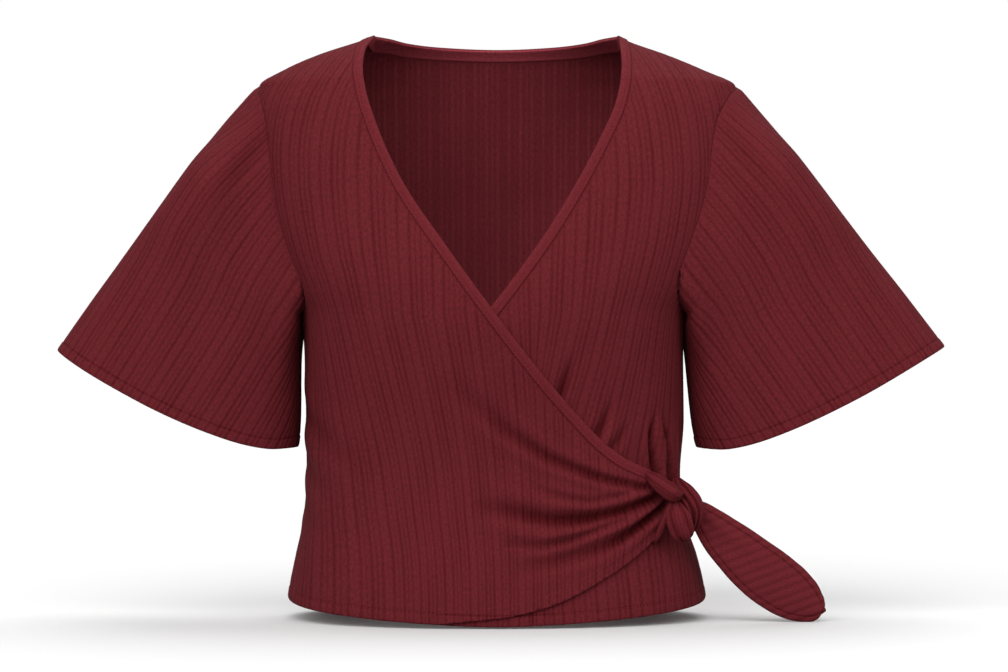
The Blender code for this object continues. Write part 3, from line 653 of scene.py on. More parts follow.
def shell(name, outer, faces, material, uv, shade, thickness=CLOTH):
    """A closed shell of cloth below its outer surface."""
    normals = surface_normals(outer, faces)
    count = len(outer)
    points = np.concatenate([outer, outer - thickness * normals])
    walls = {}
    for face in faces:
        for edge in zip(face, face[1:] + face[:1]):
            walls[edge] = True
    every = list(faces) + [[number + count for number in reversed(face)] for face in faces]
    for first, last in walls:
        if (last, first) not in walls:
            every.append([last, first, first + count, last + count])
    # Painted light on the inner side: lighter all over, and lighter still behind the outer side's painted
    # shade, where its ridges stand.
    shades = np.concatenate([shade, -INNER_LIGHT - INNER_SHADE * shade])
    return make_piece(name, points, every, material, np.concatenate([uv, uv]), shades)


HEM_ROWS = np.array([0.0, 0.0006, 0.0016, 0.0032, 0.0052, 0.0070, 0.0079, 0.0085, 0.0091, 0.0100, 0.0115])
HEM_BLEND = 0.09


def level_rows(lowest, bands):
    """Heights of a lattice's rows above its hem rows: (top, step) for each band."""
    rows, height = [], lowest + HEM_ROWS[-1]
    for top, step in bands:
        count = max(round((top - height) / step), 1)
        rows.extend(np.linspace(height, top, count + 1)[1:])
        height = top
    return np.array(rows)


HEM_RISE = 0.00035
HEM_DENT, HEM_DENT_WIDTH = 0.00045, 0.0006
HEM_EDGE, HEM_EDGE_WIDTH = 0.0006, 0.0007
SEAM_SHADE, SEAM_SHADE_WIDTH = 0.75, 0.0009
HEM_SHADE, HEM_SHADE_WIDTH = 0.9, 0.0007


def hem_relief(above):
    """The turned hem: a little thicker than the cloth, with the dent of its stitching."""
    band = HEM_RISE * (1 - ramp(above, HEM_BAND - HEM_DENT_WIDTH, HEM_BAND + 2 * HEM_DENT_WIDTH))
    dent_in = HEM_DENT * bell(above - HEM_BAND, HEM_DENT_WIDTH)
    return band - dent_in - HEM_EDGE * bell(above, HEM_EDGE_WIDTH)


def line_shade(gap, above):
    """The shade in the seams and along the hem's stitching."""
    return SEAM_SHADE * bell(gap, SEAM_SHADE_WIDTH) + HEM_SHADE * bell(above - HEM_BAND, HEM_SHADE_WIDTH)


def seam_relief(gap):
    return -SEAM_DIP * bell(gap, SEAM_DIP_WIDTH)


def panel(name, neck, face, outline, seams, flow, ribs, bands, relief, lift, pitch=RIB_PITCH):
    """A panel of the body: ribs run down it, its outline cuts them, and it carries its creases and hem."""
    columns = rib_columns(*ribs, pitch)
    lowest = FRONT_HEM if face < 0 else BACK_HEM
    rows = np.concatenate([lowest + HEM_ROWS, level_rows(lowest, bands)])
    rib, level = np.meshgrid(columns, rows, indexing="ij")
    least = RIB_LEAST_STEP * np.arange(len(columns))[:, None]
    around = np.maximum.accumulate(flow(rib, level) - least, axis=0) + least
    fade = 1 - ramp(level, lowest + HEM_ROWS[-1], lowest + HEM_BLEND)
    height = level + (hem_height(face, around) - lowest) * fade
    flat = np.column_stack([around.ravel(), height.ravel(), rib.ravel()])
    values = clear_of_neck(neck, inside_by(flat[:, :2], outline), flat[:, :2])
    flat, faces = clipped(values, flat, len(columns), len(rows))
    places = flat[:, :2]
    reach = to_side(face, RIGHT_SIDE, places[:, 1]), to_side(face, LEFT_SIDE, places[:, 1])
    places[:, 0] = np.clip(places[:, 0], -reach[0], reach[1])
    gap = np.min([near_line(places, seam)[0] for seam in seams], axis=0)
    ribbing = groove(flat[:, 2], places[:, 1], pitch) * ramp(gap, *SEAM_CALM)
    above = places[:, 1] - hem_height(face, places[:, 0])
    creased = crease_relief(places, relief)
    out = lift(places) + creased + hem_relief(above) - GROOVE_DEPTH * ribbing
    sunk = np.minimum(creased + (crease_relief(places, KNOT_FOLDS) if lift is over_lift else 0.0), 0.0)
    out += seam_relief(gap)
    # Painted shade: the rib grooves, the seams, the hem's stitching and the deepest folds darken the colour.
    ribbing = ribbing + line_shade(gap, above) + FOLD_SHADE * np.minimum(-sunk / FOLD_SHADE_DEPTH, 1.0)
    points = body_points(face, places[:, 0], places[:, 1])
    points += out[:, None] * body_normals(face, places[:, 0], places[:, 1])
    if face > 0:
        faces = [corners[::-1] for corners in faces]
    uv = np.column_stack([flat[:, 2], GRAIN_STRETCH * places[:, 1]]) / RIB_PITCH
    return shell(name, points, faces, KNIT, uv, ribbing)


def inside_by(places, outline):
    """How far each place is inside a closed outline: below 0 outside."""
    gap, _ = near_line(places, np.concatenate([outline, outline[:1]]))
    ends = np.roll(outline, -1, axis=0)
    crossed = np.zeros(len(places), int)
    for first, last in zip(outline, ends):
        if first[1] == last[1]:
            continue
        spans = (places[:, 1] < first[1]) != (places[:, 1] < last[1])
        crossing = first[0] + (places[:, 1] - first[1]) / (last[1] - first[1]) * (last[0] - first[0])
        crossed += spans & (crossing > places[:, 0])
    return np.where(crossed % 2 == 1, gap, -gap)


# The sleeves

ALONG_LOW, ALONG_HIGH, ALONGS = -0.030, 0.290, 321


def sleeve_frame(side):
    """The shoulder point, the way down the sleeve and the way across it towards the body."""
    start = np.array([side * SLEEVE_TOP[0], 0.0, SLEEVE_TOP[1]])
    down = np.array([side * math.sin(SLEEVE_SLOPE), 0.0, -math.cos(SLEEVE_SLOPE)])
    inward = np.array([-side * math.cos(SLEEVE_SLOPE), 0.0, -math.sin(SLEEVE_SLOPE)])
    return start, down, inward


def sleeve_bottom(side, along):
    """The way across to the sleeve's underarm line, which opens out below the underarm point."""
    start, down, inward = sleeve_frame(side)
    corner_x, corner_z = SLEEVE_INNER_CORNER[side]
    level = np.array([UNDERARM])
    underarm = body_points(FRONT, side * to_side(FRONT, side, level), level)[0] - start
    corner = np.array([side * corner_x, 0.0, corner_z]) - start
    first, last = underarm @ down, corner @ down
    narrow, wide = underarm @ inward, corner @ inward
    flare = (wide - narrow) / (last - first)
    rows = {
        "along": np.array([first - SLEEVE_BEYOND, first, last, last + SLEEVE_BEYOND]),
        "bottom": np.array([narrow - UNDERARM_EASE, narrow, wide, wide + flare * SLEEVE_BEYOND]),
    }
    fullness = math.pi * np.clip((along - first) / (last - first), 0, 1) ** SLEEVE_FULLNESS_HIGH
    return smooth_at(rows, "along", "bottom", along) + SLEEVE_FULLNESS[side] * np.sin(fullness)


def sleeve_sections(side):
    """All sections of half of a sleeve, from the top line to the underarm line, and their lengths."""
    sections, lengths = [], []
    turn = np.linspace(0, math.pi, 2 * FINE)
    cosine = np.cos(turn)
    for along in np.linspace(ALONG_LOW, ALONG_HIGH, ALONGS):
        top = smooth_at(SLEEVE, "along", "left_top" if side > 0 else "right_top", along)
        bottom = sleeve_bottom(side, along)
        power = 2 / smooth_at(SLEEVE, "along", "squareness", along)
        across = (top + bottom) / 2 - (bottom - top) / 2 * np.sign(cosine) * np.abs(cosine) ** power
        out = smooth_at(SLEEVE, "along", "depth", along) * np.clip(np.sin(turn), 0, 1) ** power
        section, length = even_section(np.column_stack([across, out]))
        sections.append(section)
        lengths.append(length)
    return np.array(sections), np.array(lengths)


SLEEVES = {side: sleeve_sections(side) for side in SIDES}


def sleeve_row(along):
    return (along - ALONG_LOW) / (ALONG_HIGH - ALONG_LOW) * (ALONGS - 1)


def half_round(side, along):
    """The way from the sleeve's top line to its underarm line."""
    return np.interp(sleeve_row(along), np.arange(ALONGS), SLEEVES[side][1])


def sleeve_points(side, face, share, along):
    start, down, inward = sleeve_frame(side)
    section = looked_up(SLEEVES[side][0], sleeve_row(along), share * (SHARES - 1))
    points = start + along[:, None] * down + section[:, :1] * inward
    points[:, 1] += face * section[:, 1]
    return points


SHARE_LEAST_STEP = 1e-7


def cap_rows(side, face):
    """Down the armhole from the shoulder point: the sleeve's nearest places, and how far it misses them."""
    line = armhole(face, side)[::-1]
    points = body_points(face, line[:, 0], line[:, 1])
    start, down, inward = sleeve_frame(side)
    along = (points - start) @ down
    shares, rows = np.meshgrid(np.arange(SHARES, dtype=float), sleeve_row(along))
    sections = looked_up(SLEEVES[side][0], rows, shares)
    across = (points - start) @ inward
    gap = (sections[..., 0] - across[:, None]) ** 2 + (sections[..., 1] - np.abs(points[:, 1])[:, None]) ** 2
    nearest = np.clip(gap.argmin(axis=1), 1, SHARES - 2)
    before, at, after = (gap[np.arange(len(gap)), nearest + step] for step in (-1, 0, 1))
    share = (nearest + np.clip((before - after) / (2 * (before - 2 * at + after)), -1, 1)) / (SHARES - 1)
    share[0], share[-1] = 0.0, 1.0
    share = np.clip(np.maximum.accumulate(share + SHARE_LEAST_STEP * np.arange(len(share))), 0, 1)
    miss = points - sleeve_points(side, face, share, along)
    return {"share": share, "along": along, "miss": miss}


CAPS = {(side, face): cap_rows(side, face) for side in SIDES for face in FACES}
HEM_TRIES = 12


def sleeve_hem_rows(side):
    """The way along to the sleeve's hem at each way round from the top line."""
    share = np.linspace(0, 1, FINE)
    along = np.full(FINE, SLEEVE_HEM[side]["along"][1])
    for _ in range(HEM_TRIES):
        section = looked_up(SLEEVES[side][0], sleeve_row(along), share * (SHARES - 1))
        along = smooth_at(SLEEVE_HEM[side], "across", "along", section[:, 0])
    return {"round": share * half_round(side, along), "along": along}


SLEEVE_HEMS = {side: sleeve_hem_rows(side) for side in SIDES}


def rows_beside(face, side):
    """For each level section: the way across, and the share of the way round, at even steps of its depth."""
    rows = []
    for section in BODY[face, side][0]:
        out = np.linspace(0, section[0, 1], SHARES)
        share = np.interp(out, section[::-1, 1], np.linspace(1, 0, SHARES))
        across = np.interp(out, section[::-1, 1], section[::-1, 0])
        rows.append(np.column_stack([across, share, np.full(SHARES, section[0, 1])]))
    return np.array(rows)


BESIDE = {place: rows_beside(*place) for place in BODY}
ARMHOLE_MARGIN = 0.004


def beside_body(side, face, points, clearance):
    """The points, moved sideways where they would be nearer to the panel beside them than the clearance."""
    heights = np.clip(points[:, 2], LOWEST, 0.0)
    level = level_of(heights)
    out = np.abs(points[:, 1])
    deepest = looked_up(BESIDE[face, side], level, 0 * level)[:, 2]
    found = looked_up(BESIDE[face, side], level, np.clip(out / deepest, 0, 1) * (SHARES - 1))
    cut = smooth_at(ARMHOLE[side], "height", "share", heights)
    beside = (out <= deepest) & ((found[:, 1] - cut) * to_side(face, side, heights) <= ARMHOLE_MARGIN)
    moved = points.copy()
    across = np.maximum(side * points[:, 0], found[:, 0] + clearance)
    moved[:, 0] = np.where(beside, side * across, points[:, 0])
    return moved


SLEEVE_START, SLEEVE_END = -0.012, 0.26
CAP_TUCK = 0.0055
CAP_TUCK_DIP = 0.45
SLEEVE_STEP = 0.0045


def sleeve(name, side, creases):
    """A sleeve: its ribs run down it at steady ways round from its top line."""
    widest = SLEEVES[side][1].max()
    columns = rib_columns(-widest, widest, RIB_PITCH)
    body_rows = round((SLEEVE_END - SLEEVE_START) / SLEEVE_STEP)
    rows = np.arange(body_rows + len(HEM_ROWS), dtype=float)
    rib, row = np.meshgrid(columns, rows, indexing="ij")
    last = np.interp(np.abs(rib), SLEEVE_HEMS[side]["round"], SLEEVE_HEMS[side]["along"])
    down_to = last - HEM_ROWS[-1]
    along = SLEEVE_START + (down_to - SLEEVE_START) * row / body_rows
    hem_row = np.clip(row - body_rows, 0, len(HEM_ROWS) - 1).astype(int)
    along = np.where(row >= body_rows, last - HEM_ROWS[::-1][hem_row], along)
    flat = np.column_stack([rib.ravel(), along.ravel(), last.ravel()])
    share = np.abs(flat[:, 0]) / half_round(side, flat[:, 1])
    first = np.where(
        flat[:, 0] > 0,
        np.interp(share, CAPS[side, FRONT]["share"], CAPS[side, FRONT]["along"]),
        np.interp(share, CAPS[side, BACK]["share"], CAPS[side, BACK]["along"]),
    )
    from_underarm = half_round(side, flat[:, 1]) - np.abs(flat[:, 0]) - HALF_GAP
    values = np.minimum(from_underarm, flat[:, 1] - first + CAP_TUCK)
    flat, faces = clipped(values, flat, len(columns), len(rows))
    points, gaps = sleeve_surface(side, flat[:, 0], flat[:, 1])
    ribbing = groove(flat[:, 0], flat[:, 1], RIB_PITCH) * ramp(gaps, *SEAM_CALM)
    above = flat[:, 2] - flat[:, 1]
    out = hem_relief(above) - GROOVE_DEPTH * ribbing + seam_relief(gaps)
    out += crease_relief(flat[:, :2], creases)
    out -= CAP_TUCK_DIP * np.clip(-gaps, 0, None)
    # Painted shade: the rib grooves, the seams and the hem's stitching darken the colour.
    ribbing = ribbing + line_shade(gaps, above)
    if side < 0:
        faces = [corners[::-1] for corners in faces]
    normals = surface_normals(points, faces)
    points += out[:, None] * normals
    uv = np.column_stack([flat[:, 0], -GRAIN_STRETCH * flat[:, 1]]) / RIB_PITCH
    return shell(name, points, faces, KNIT, uv, ribbing)


def sleeve_surface(side, rib, along):
    """Points of the sleeve, and how far each is from its seams."""
    points = np.empty((len(rib), 3))
    gaps = np.empty(len(rib))
    for face in (FRONT, BACK):
        here = (rib > 0) == (face < 0)
        cap = CAPS[side, face]
        total = half_round(side, along[here])
        share = np.clip(np.abs(rib[here]) / total, 0, 1)
        first = np.interp(share, cap["share"], cap["along"])
        miss = columns_at(share, cap["share"], cap["miss"])
        fade = 1 - ramp(along[here] - first, 0, CAP_BLEND)
        place = sleeve_points(side, face, share, along[here]) + fade[:, None] * miss
        clearance = SLEEVE_CLEARANCE * np.clip((along[here] - first) / SLEEVE_CLEARANCE_WAY, 0.0, 1.0)
        points[here] = beside_body(side, face, place, clearance)
        gaps[here] = np.minimum(along[here] - first, total - np.abs(rib[here]))
    return points, gaps


def round_at(side, across, along):
    """The way round to places on the front of a sleeve, given by the way across it."""
    found = []
    shares = np.arange(SHARES, dtype=float)
    for wanted, place in zip(across, along):
        section = looked_up(SLEEVES[side][0], np.full(SHARES, sleeve_row(place)), shares)
        found.append(np.interp(wanted, section[:, 0], np.linspace(0, 1, SHARES)) * half_round(side, place))
    return np.array(found)


# Bindings: a folded strip along each neck edge

BINDING_SIDES = 44
BINDING_SHADE = 0.25
STITCH_WAYS = (0.0056, 0.0078)
STITCH_DENT = 0.00035
STITCH_DENT_WIDTH = 0.0006
BINDING_EDGE_SHARE = 0.8
BINDING_EDGE_WIDTH = 0.0009
BINDING_SHADE_FROM = (0.0048, 0.0054)
LINE_SHADE_OUTSIDE, LINE_SHADE_INSIDE = 1.1, 2.4
BINDING_INSIDE = {"over": 0.0, "back": 0.0006, "under": 0.0}
# Painted light on the inner side of the back binding, which faces down into shade.
BINDING_INNER_LIGHT = {"over": 0.0, "back": 4.2, "under": 0.0}
BINDING_OUT = 0.00065
BINDING_SQUARENESS = 4.5
BINDING_STEP_LENGTH = 0.0022
NECK_LIFTS = {"over": (FRONT, over_lift), "back": (BACK, no_lift), "under": (FRONT, no_lift)}


def shoulder_place(face, near, way):
    """The place on the shoulder seam at a way down it from the neck point."""
    side = LEFT_SIDE if near > 0 else RIGHT_SIDE
    heights = np.linspace(0, SHOULDER_POINT, FINE)
    around = side * to_side(face, side, heights)
    height = np.interp(way, lengths_along(body_points(face, around, heights)), heights)
    return side * (to_side(face, side, height) - HALF_GAP), height


def neck_stations(name, ways):
    """Places at several ways into the panel, at equal steps along a neck edge, from the shoulder seam on."""
    edge = neck_line(name, 0.0)
    steps = max(round(lengths_along(edge)[-1] / BINDING_STEP_LENGTH), 4)
    lines = []
    for way in ways:
        line = divided(neck_line(name, way), steps)
        line[0] = shoulder_place(NECK_LIFTS[name][0], edge[0, 0], way)
        if name == "back":
            line[-1] = shoulder_place(BACK, edge[-1, 0], way)
        lines.append(line)
    return np.stack(lines)


def on_body(face, lift, places, out):
    """Points that stand out by a way from the body's surface, lifted as the panel there is."""
    heights = np.minimum(places[..., 1].ravel(), 0.0)
    arounds = places[..., 0].ravel()
    limits = to_side(face, RIGHT_SIDE, heights), to_side(face, LEFT_SIDE, heights)
    arounds = np.clip(arounds, -limits[0], limits[1])
    flat = np.column_stack([arounds, heights])
    outs = lift(flat) + np.broadcast_to(out, places.shape[:-1]).ravel()
    points = body_points(face, arounds, heights)
    points += outs[:, None] * body_normals(face, arounds, heights)
    return points.reshape(places.shape[:-1] + (3,))


def tube_faces(rings, sides):
    """The faces of a tube with closed ends."""
    faces = []
    for ring in range(rings - 1):
        for number in range(sides):
            beside = (number + 1) % sides
            low, high = ring * sides, (ring + 1) * sides
            faces.append([low + number, low + beside, high + beside, high + number])
    faces.append(list(range(sides))[::-1])
    faces.append([(rings - 1) * sides + number for number in range(sides)])
    return faces


def outward(points, faces):
    """The faces, turned so that they face out of the closed mesh."""
    volume = 0.0
    for face in faces:
        first = points[face[0]]
        for second, third in zip(face[1:-1], face[2:]):
            volume += np.dot(first, np.cross(points[second], points[third]))
    return faces if volume > 0 else [face[::-1] for face in faces]


def binding(name):
    """A squarish tube along a neck edge, with the dents of its stitching."""
    face, lift = NECK_LIFTS[name]
    turn = np.linspace(0, 2 * math.pi, BINDING_SIDES, endpoint=False)
    power = 2 / BINDING_SQUARENESS
    ways = BINDING_WIDTH / 2 * (1 + np.sign(np.cos(turn)) * np.abs(np.cos(turn)) ** power)
    outs = (CLOTH / 2 + BINDING_OUT) * np.sign(np.sin(turn)) * np.abs(np.sin(turn)) ** power - CLOTH / 2
    outside = np.sin(turn) > 0
    stitching = bell(ways - STITCH_WAYS[0] + STITCH_DENT_WIDTH, STITCH_DENT_WIDTH)
    lines = stitching + BINDING_EDGE_SHARE * bell(ways - BINDING_WIDTH, BINDING_EDGE_WIDTH)
    outs -= np.where(outside, STITCH_DENT * lines, BINDING_INSIDE[name])
    outer_shade = BINDING_SHADE * ramp(ways, *BINDING_SHADE_FROM) + LINE_SHADE_OUTSIDE * lines
    shades = np.where(outside, outer_shade, LINE_SHADE_INSIDE * lines - BINDING_INNER_LIGHT[name])
    places = neck_stations(name, ways)
    points = on_body(face, lift, places, outs[:, None]).transpose(1, 0, 2).reshape(-1, 3)
    rings = places.shape[1]
    faces = outward(points, tube_faces(rings, BINDING_SIDES))
    walked = np.repeat(np.arange(rings) * BINDING_STEP_LENGTH, BINDING_SIDES)
    uv = np.column_stack([walked, np.tile(ways, rings)]) / RIB_PITCH
    return make_piece("binding_" + name, points, faces, BINDING, uv, np.tile(shades, rings))


# Stitches

THREAD = 0.00034
STITCH_SIDES = 5
STITCH_PITCH = 0.0030
STITCH_LENGTH = 0.0021
STITCH_LINE_STEP = 0.002
HEM_STITCH_OUT = -0.00022
ZIGZAG_SINK = 0.00005
ZIGZAG_THREAD = 0.9
SPINDLE = ((0.0, 0.45), (0.18, 1.0), (0.82, 1.0), (1.0, 0.45))
SPINDLE_RISE = 0.8


def stitch_mesh(starts, ends, normals, radius=THREAD):
    """Small spindles of thread between pairs of points: rings with a place along and a size."""
    along = unit(ends - starts)
    across = unit(np.cross(normals, along))
    up = np.cross(along, across)
    points, faces = [], []
    for place, size in SPINDLE:
        centre = starts + place * (ends - starts) - (0 if size == 1 else radius) * up
        for number in range(STITCH_SIDES):
            angle = 2 * math.pi * number / STITCH_SIDES
            way = math.cos(angle) * across + SPINDLE_RISE * math.sin(angle) * up
            points.append(centre + radius * size * way)
    points = np.stack(points, axis=1)
    one = outward(points[0], tube_faces(len(SPINDLE), STITCH_SIDES))
    for number in range(len(starts)):
        shift = number * points.shape[1]
        faces.extend([[corner + shift for corner in face] for face in one])
    return points.reshape(-1, 3), faces


def dashes(line, normals):
    """Starts, ends and normals of the dashes of a line of stitches."""
    walked = lengths_along(line)
    count = int(walked[-1] / STITCH_PITCH)
    starts = (np.arange(count) + 0.5) * STITCH_PITCH - STITCH_LENGTH / 2
    ends = starts + STITCH_LENGTH
    middles = starts + STITCH_LENGTH / 2
    at_ends = [columns_at(places, walked, line) for places in (starts, ends)]
    return *at_ends, columns_at(middles, walked, normals)


def joined_stitches(name, parts):
    """One piece of several rows of stitches."""
    points, faces = [], []
    for part_points, part_faces in parts:
        shift = sum(len(each) for each in points)
        points.append(part_points)
        faces.extend([[corner + shift for corner in face] for face in part_faces])
    return make_piece(name, np.concatenate(points), faces, THREAD_LOOK)


def body_stitches(face, lift, line):
    """A row of dashes along a line of a panel."""
    line = divided(line, max(int(lengths_along(line)[-1] / STITCH_LINE_STEP), 2))
    points = on_body(face, lift, line, HEM_STITCH_OUT)
    normals = body_normals(face, line[:, 0], np.minimum(line[:, 1], 0.0))
    return stitch_mesh(*dashes(points, normals))


def zigzag_stitches(name):
    """The zigzag of the binding's coverstitch."""
    face, lift = NECK_LIFTS[name]
    count = int(lengths_along(neck_line(name, 0.0))[-1] / STITCH_PITCH)
    near, far = (divided(neck_line(name, way), 2 * count) for way in STITCH_WAYS)
    turns = np.where(np.arange(2 * count + 1)[:, None] % 2 == 0, near, far)
    points = on_body(face, lift, turns, BINDING_OUT - ZIGZAG_SINK)
    normals = body_normals(face, turns[:, 0], np.minimum(turns[:, 1], 0.0))
    return stitch_mesh(points[:-1], points[1:], normals[:-1], THREAD * ZIGZAG_THREAD)


# The knot

STRETCH = "x y z width thickness roll"
STRETCH_STATIONS = 72
STRETCH_SIDES = 64
STRETCH_END_POWER, STRETCH_END_LEAST = 7, 0.03
STRETCH_SQUARENESS = 0.8
STRETCH_RIB_SHADE, STRETCH_FOLD_SHADE = 0.5, 0.8
KNOT_RIB = 0.0027
KNOT_RIB_DEPTH = 0.00026
KNOT_RIB_WIDTH = 0.0006


def stretch(name, rows, folds, fold_depth, drift, bend=0.0):
    """A band of bunched cloth along its own line: soft folds run along it, and its ribs follow them."""
    line = smooth_line(*table(STRETCH, *rows).values(), count=STRETCH_STATIONS)
    way = unit(np.gradient(line[:, :3], axis=0))
    across = unit(np.cross(way, (0.0, -1.0, 0.0)))
    out = np.cross(across, way)
    turn = np.radians(line[:, 5])[:, None]
    across, out = across * np.cos(turn) + out * np.sin(turn), out * np.cos(turn) - across * np.sin(turn)
    angle = np.linspace(0, 2 * math.pi, STRETCH_SIDES, endpoint=False)
    share = np.cos(angle)
    place = np.linspace(0, 1, STRETCH_STATIONS)[:, None]
    ends = np.sqrt(np.clip(1 - np.abs(2 * place - 1) ** STRETCH_END_POWER, STRETCH_END_LEAST, 1))
    wide = line[:, 3:4] / 2 * ends * share
    above = np.sign(np.sin(angle))
    rise = line[:, 4:5] / 2 * ends * above * np.abs(np.sin(angle)) ** STRETCH_SQUARENESS
    inner = 1 - share**4
    phase = math.pi * folds * (share + drift * (place - 0.5) + bend * (place - 0.5) ** 2)
    rise = rise + fold_depth * np.cos(phase) * inner * above * ends
    ribbing = bell(((wide / KNOT_RIB + 0.5) % 1 - 0.5) * KNOT_RIB, KNOT_RIB_WIDTH) * inner
    rise = rise - KNOT_RIB_DEPTH * ribbing * above
    points = line[:, None, :3] + wide[..., None] * across[:, None] + rise[..., None] * out[:, None]
    points = points.reshape(-1, 3)
    faces = outward(points, tube_faces(STRETCH_STATIONS, STRETCH_SIDES))
    walked = np.repeat(lengths_along(line[:, :3]), STRETCH_SIDES)
    uv = np.column_stack([wide.ravel(), walked]) / RIB_PITCH
    shade = STRETCH_RIB_SHADE * ribbing + STRETCH_FOLD_SHADE * np.clip(-np.cos(phase), 0, 1) ** 2 * inner
    return make_piece(name, points, faces, TIE, uv, shade.ravel())


TAIL = table(
    "x y z half_width",
    (0.15, -0.06, -0.374, 0.006), (0.1594, -0.061, -0.3804, 0.0099), (0.1663, -0.061, -0.388, 0.0136),
    (0.1763, -0.061, -0.3986, 0.0172), (0.1875, -0.0605, -0.4088, 0.0197),
    (0.1999, -0.0595, -0.4199, 0.0217), (0.2128, -0.058, -0.4302, 0.0227), (0.2262, -0.056, -0.44, 0.0219),
    (0.2385, -0.054, -0.4483, 0.0189), (0.2495, -0.0515, -0.4545, 0.0132),
    (0.2542, -0.0508, -0.4563, 0.009), (0.2562, -0.0505, -0.457, 0.005), (0.2569, -0.0504, -0.4573, 0.0012),
)
TAIL_CLOTH = 0.0026
TAIL_RIB_DEPTH = 0.00045
TAIL_RIB_SHADE = 0.35
TAIL_BOW = 0.0030
TAIL_RIB = 0.0070
TAIL_RIB_RISE = math.radians(20)
TAIL_STATIONS = 170
TAIL_POINTS = 8 * TAIL_STATIONS
TAIL_ACROSS = 57
TAIL_BAND = 0.0052
TAIL_MIDDLE = 0.02
TAIL_DENT, TAIL_DENT_WIDTH, TAIL_DENT_SHADE = 0.0005, 0.0006, 0.8
TAIL_EDGE, TAIL_EDGE_WIDTH = 0.0008, 0.0009
TAIL_SHADE_LEVEL = 0.4
TAIL_CREASES = (
    crease(
        (0.15, -0.376, 0.001, 0.003), (0.17, -0.3965, 0.0014, 0.004), (0.19, -0.414, 0.0008, 0.006),
        (0.212, -0.433, 0, 0.008),
    ),
    crease(
        (0.152, -0.39, 0.0012, 0.0026), (0.168, -0.403, 0.0012, 0.0034), (0.182, -0.419, 0, 0.005),
    ),
)


def tail_places(share, line):
    """Points across the tail at each place of its line: a share from -1 to 1 of its half width."""
    way = unit(np.gradient(line[:, :3], axis=0))
    across = unit(np.cross(way, (0.0, 1.0, 0.0)))
    return line[:, None, :3] + (share[None, :, None] * line[:, None, 3:4]) * across[:, None]


def tail():
    """The tail: a flat band with stitched edges, its ribs nearly level across it."""
    line = smooth_line(*TAIL.values(), count=TAIL_POINTS)
    towards_tip = np.sin(np.linspace(0, math.pi / 2, TAIL_STATIONS)) * (TAIL_POINTS - 1)
    line = columns_at(towards_tip, np.arange(TAIL_POINTS), line)
    share = np.linspace(-1, 1, TAIL_ACROSS)
    places = tail_places(share, line).reshape(-1, 3)
    shares = np.tile(share, TAIL_STATIONS)
    half = np.repeat(line[:, 3], TAIL_ACROSS)
    lean = places[:, 2] * math.cos(TAIL_RIB_RISE) - places[:, 0] * math.sin(TAIL_RIB_RISE)
    ribbing = (0.5 + 0.5 * np.cos(2 * math.pi * lean / TAIL_RIB)) ** 2
    from_edge = np.minimum((1 - np.abs(shares)) * half, TAIL_MIDDLE)
    stitching = bell(from_edge - TAIL_BAND, TAIL_DENT_WIDTH)
    out = TAIL_BOW * (1 - shares**2) + crease_relief(places[:, [0, 2]], TAIL_CREASES)
    out -= TAIL_RIB_DEPTH * ribbing
    out -= TAIL_DENT * stitching
    out -= TAIL_EDGE * bell(from_edge, TAIL_EDGE_WIDTH)
    places[:, 1] -= out - TAIL_BOW
    faces = []
    for station in range(TAIL_STATIONS - 1):
        for number in range(TAIL_ACROSS - 1):
            low, high = station * TAIL_ACROSS + number, (station + 1) * TAIL_ACROSS + number
            faces.append([low, low + 1, high + 1, high])
    normals = surface_normals(places, faces)
    if normals[:, 1].mean() > 0:
        faces = [face[::-1] for face in faces]
    uv = places[:, [0, 2]] / RIB_PITCH
    shade = TAIL_RIB_SHADE * (ribbing - TAIL_SHADE_LEVEL) + TAIL_DENT_SHADE * stitching
    return shell("tail", places, faces, TIE, uv, shade, TAIL_CLOTH)


# Looks

BASE = (0.136, 0.0148, 0.0202)
# The tint of the painted shade (it darkens green and blue more than red), and the least share of the base
# colour that it leaves.
PAINTED_SHADE_TINT = (0.85, 1.35, 1.30)
DARKEST = (0.14, 0.10, 0.10)
MOTTLE_FROM, MOTTLE_TO = (0.3, 0.7), (0.72, 1.28)
GRAIN_HEIGHT = 0.00015


def set_inputs(node, values):
    """Each named input takes a value, or is linked to another node's output."""
    for name, value in values.items():
        if isinstance(value, bpy.types.NodeSocket):
            node.id_data.links.new(value, node.inputs[name])
        else:
            node.inputs[name].default_value = value
    return node


def add_node(tree, kind, values=None, operation=None):
    node = tree.nodes.new("ShaderNode" + kind)
    if operation:
        node.operation = operation
    return set_inputs(node, values or {})


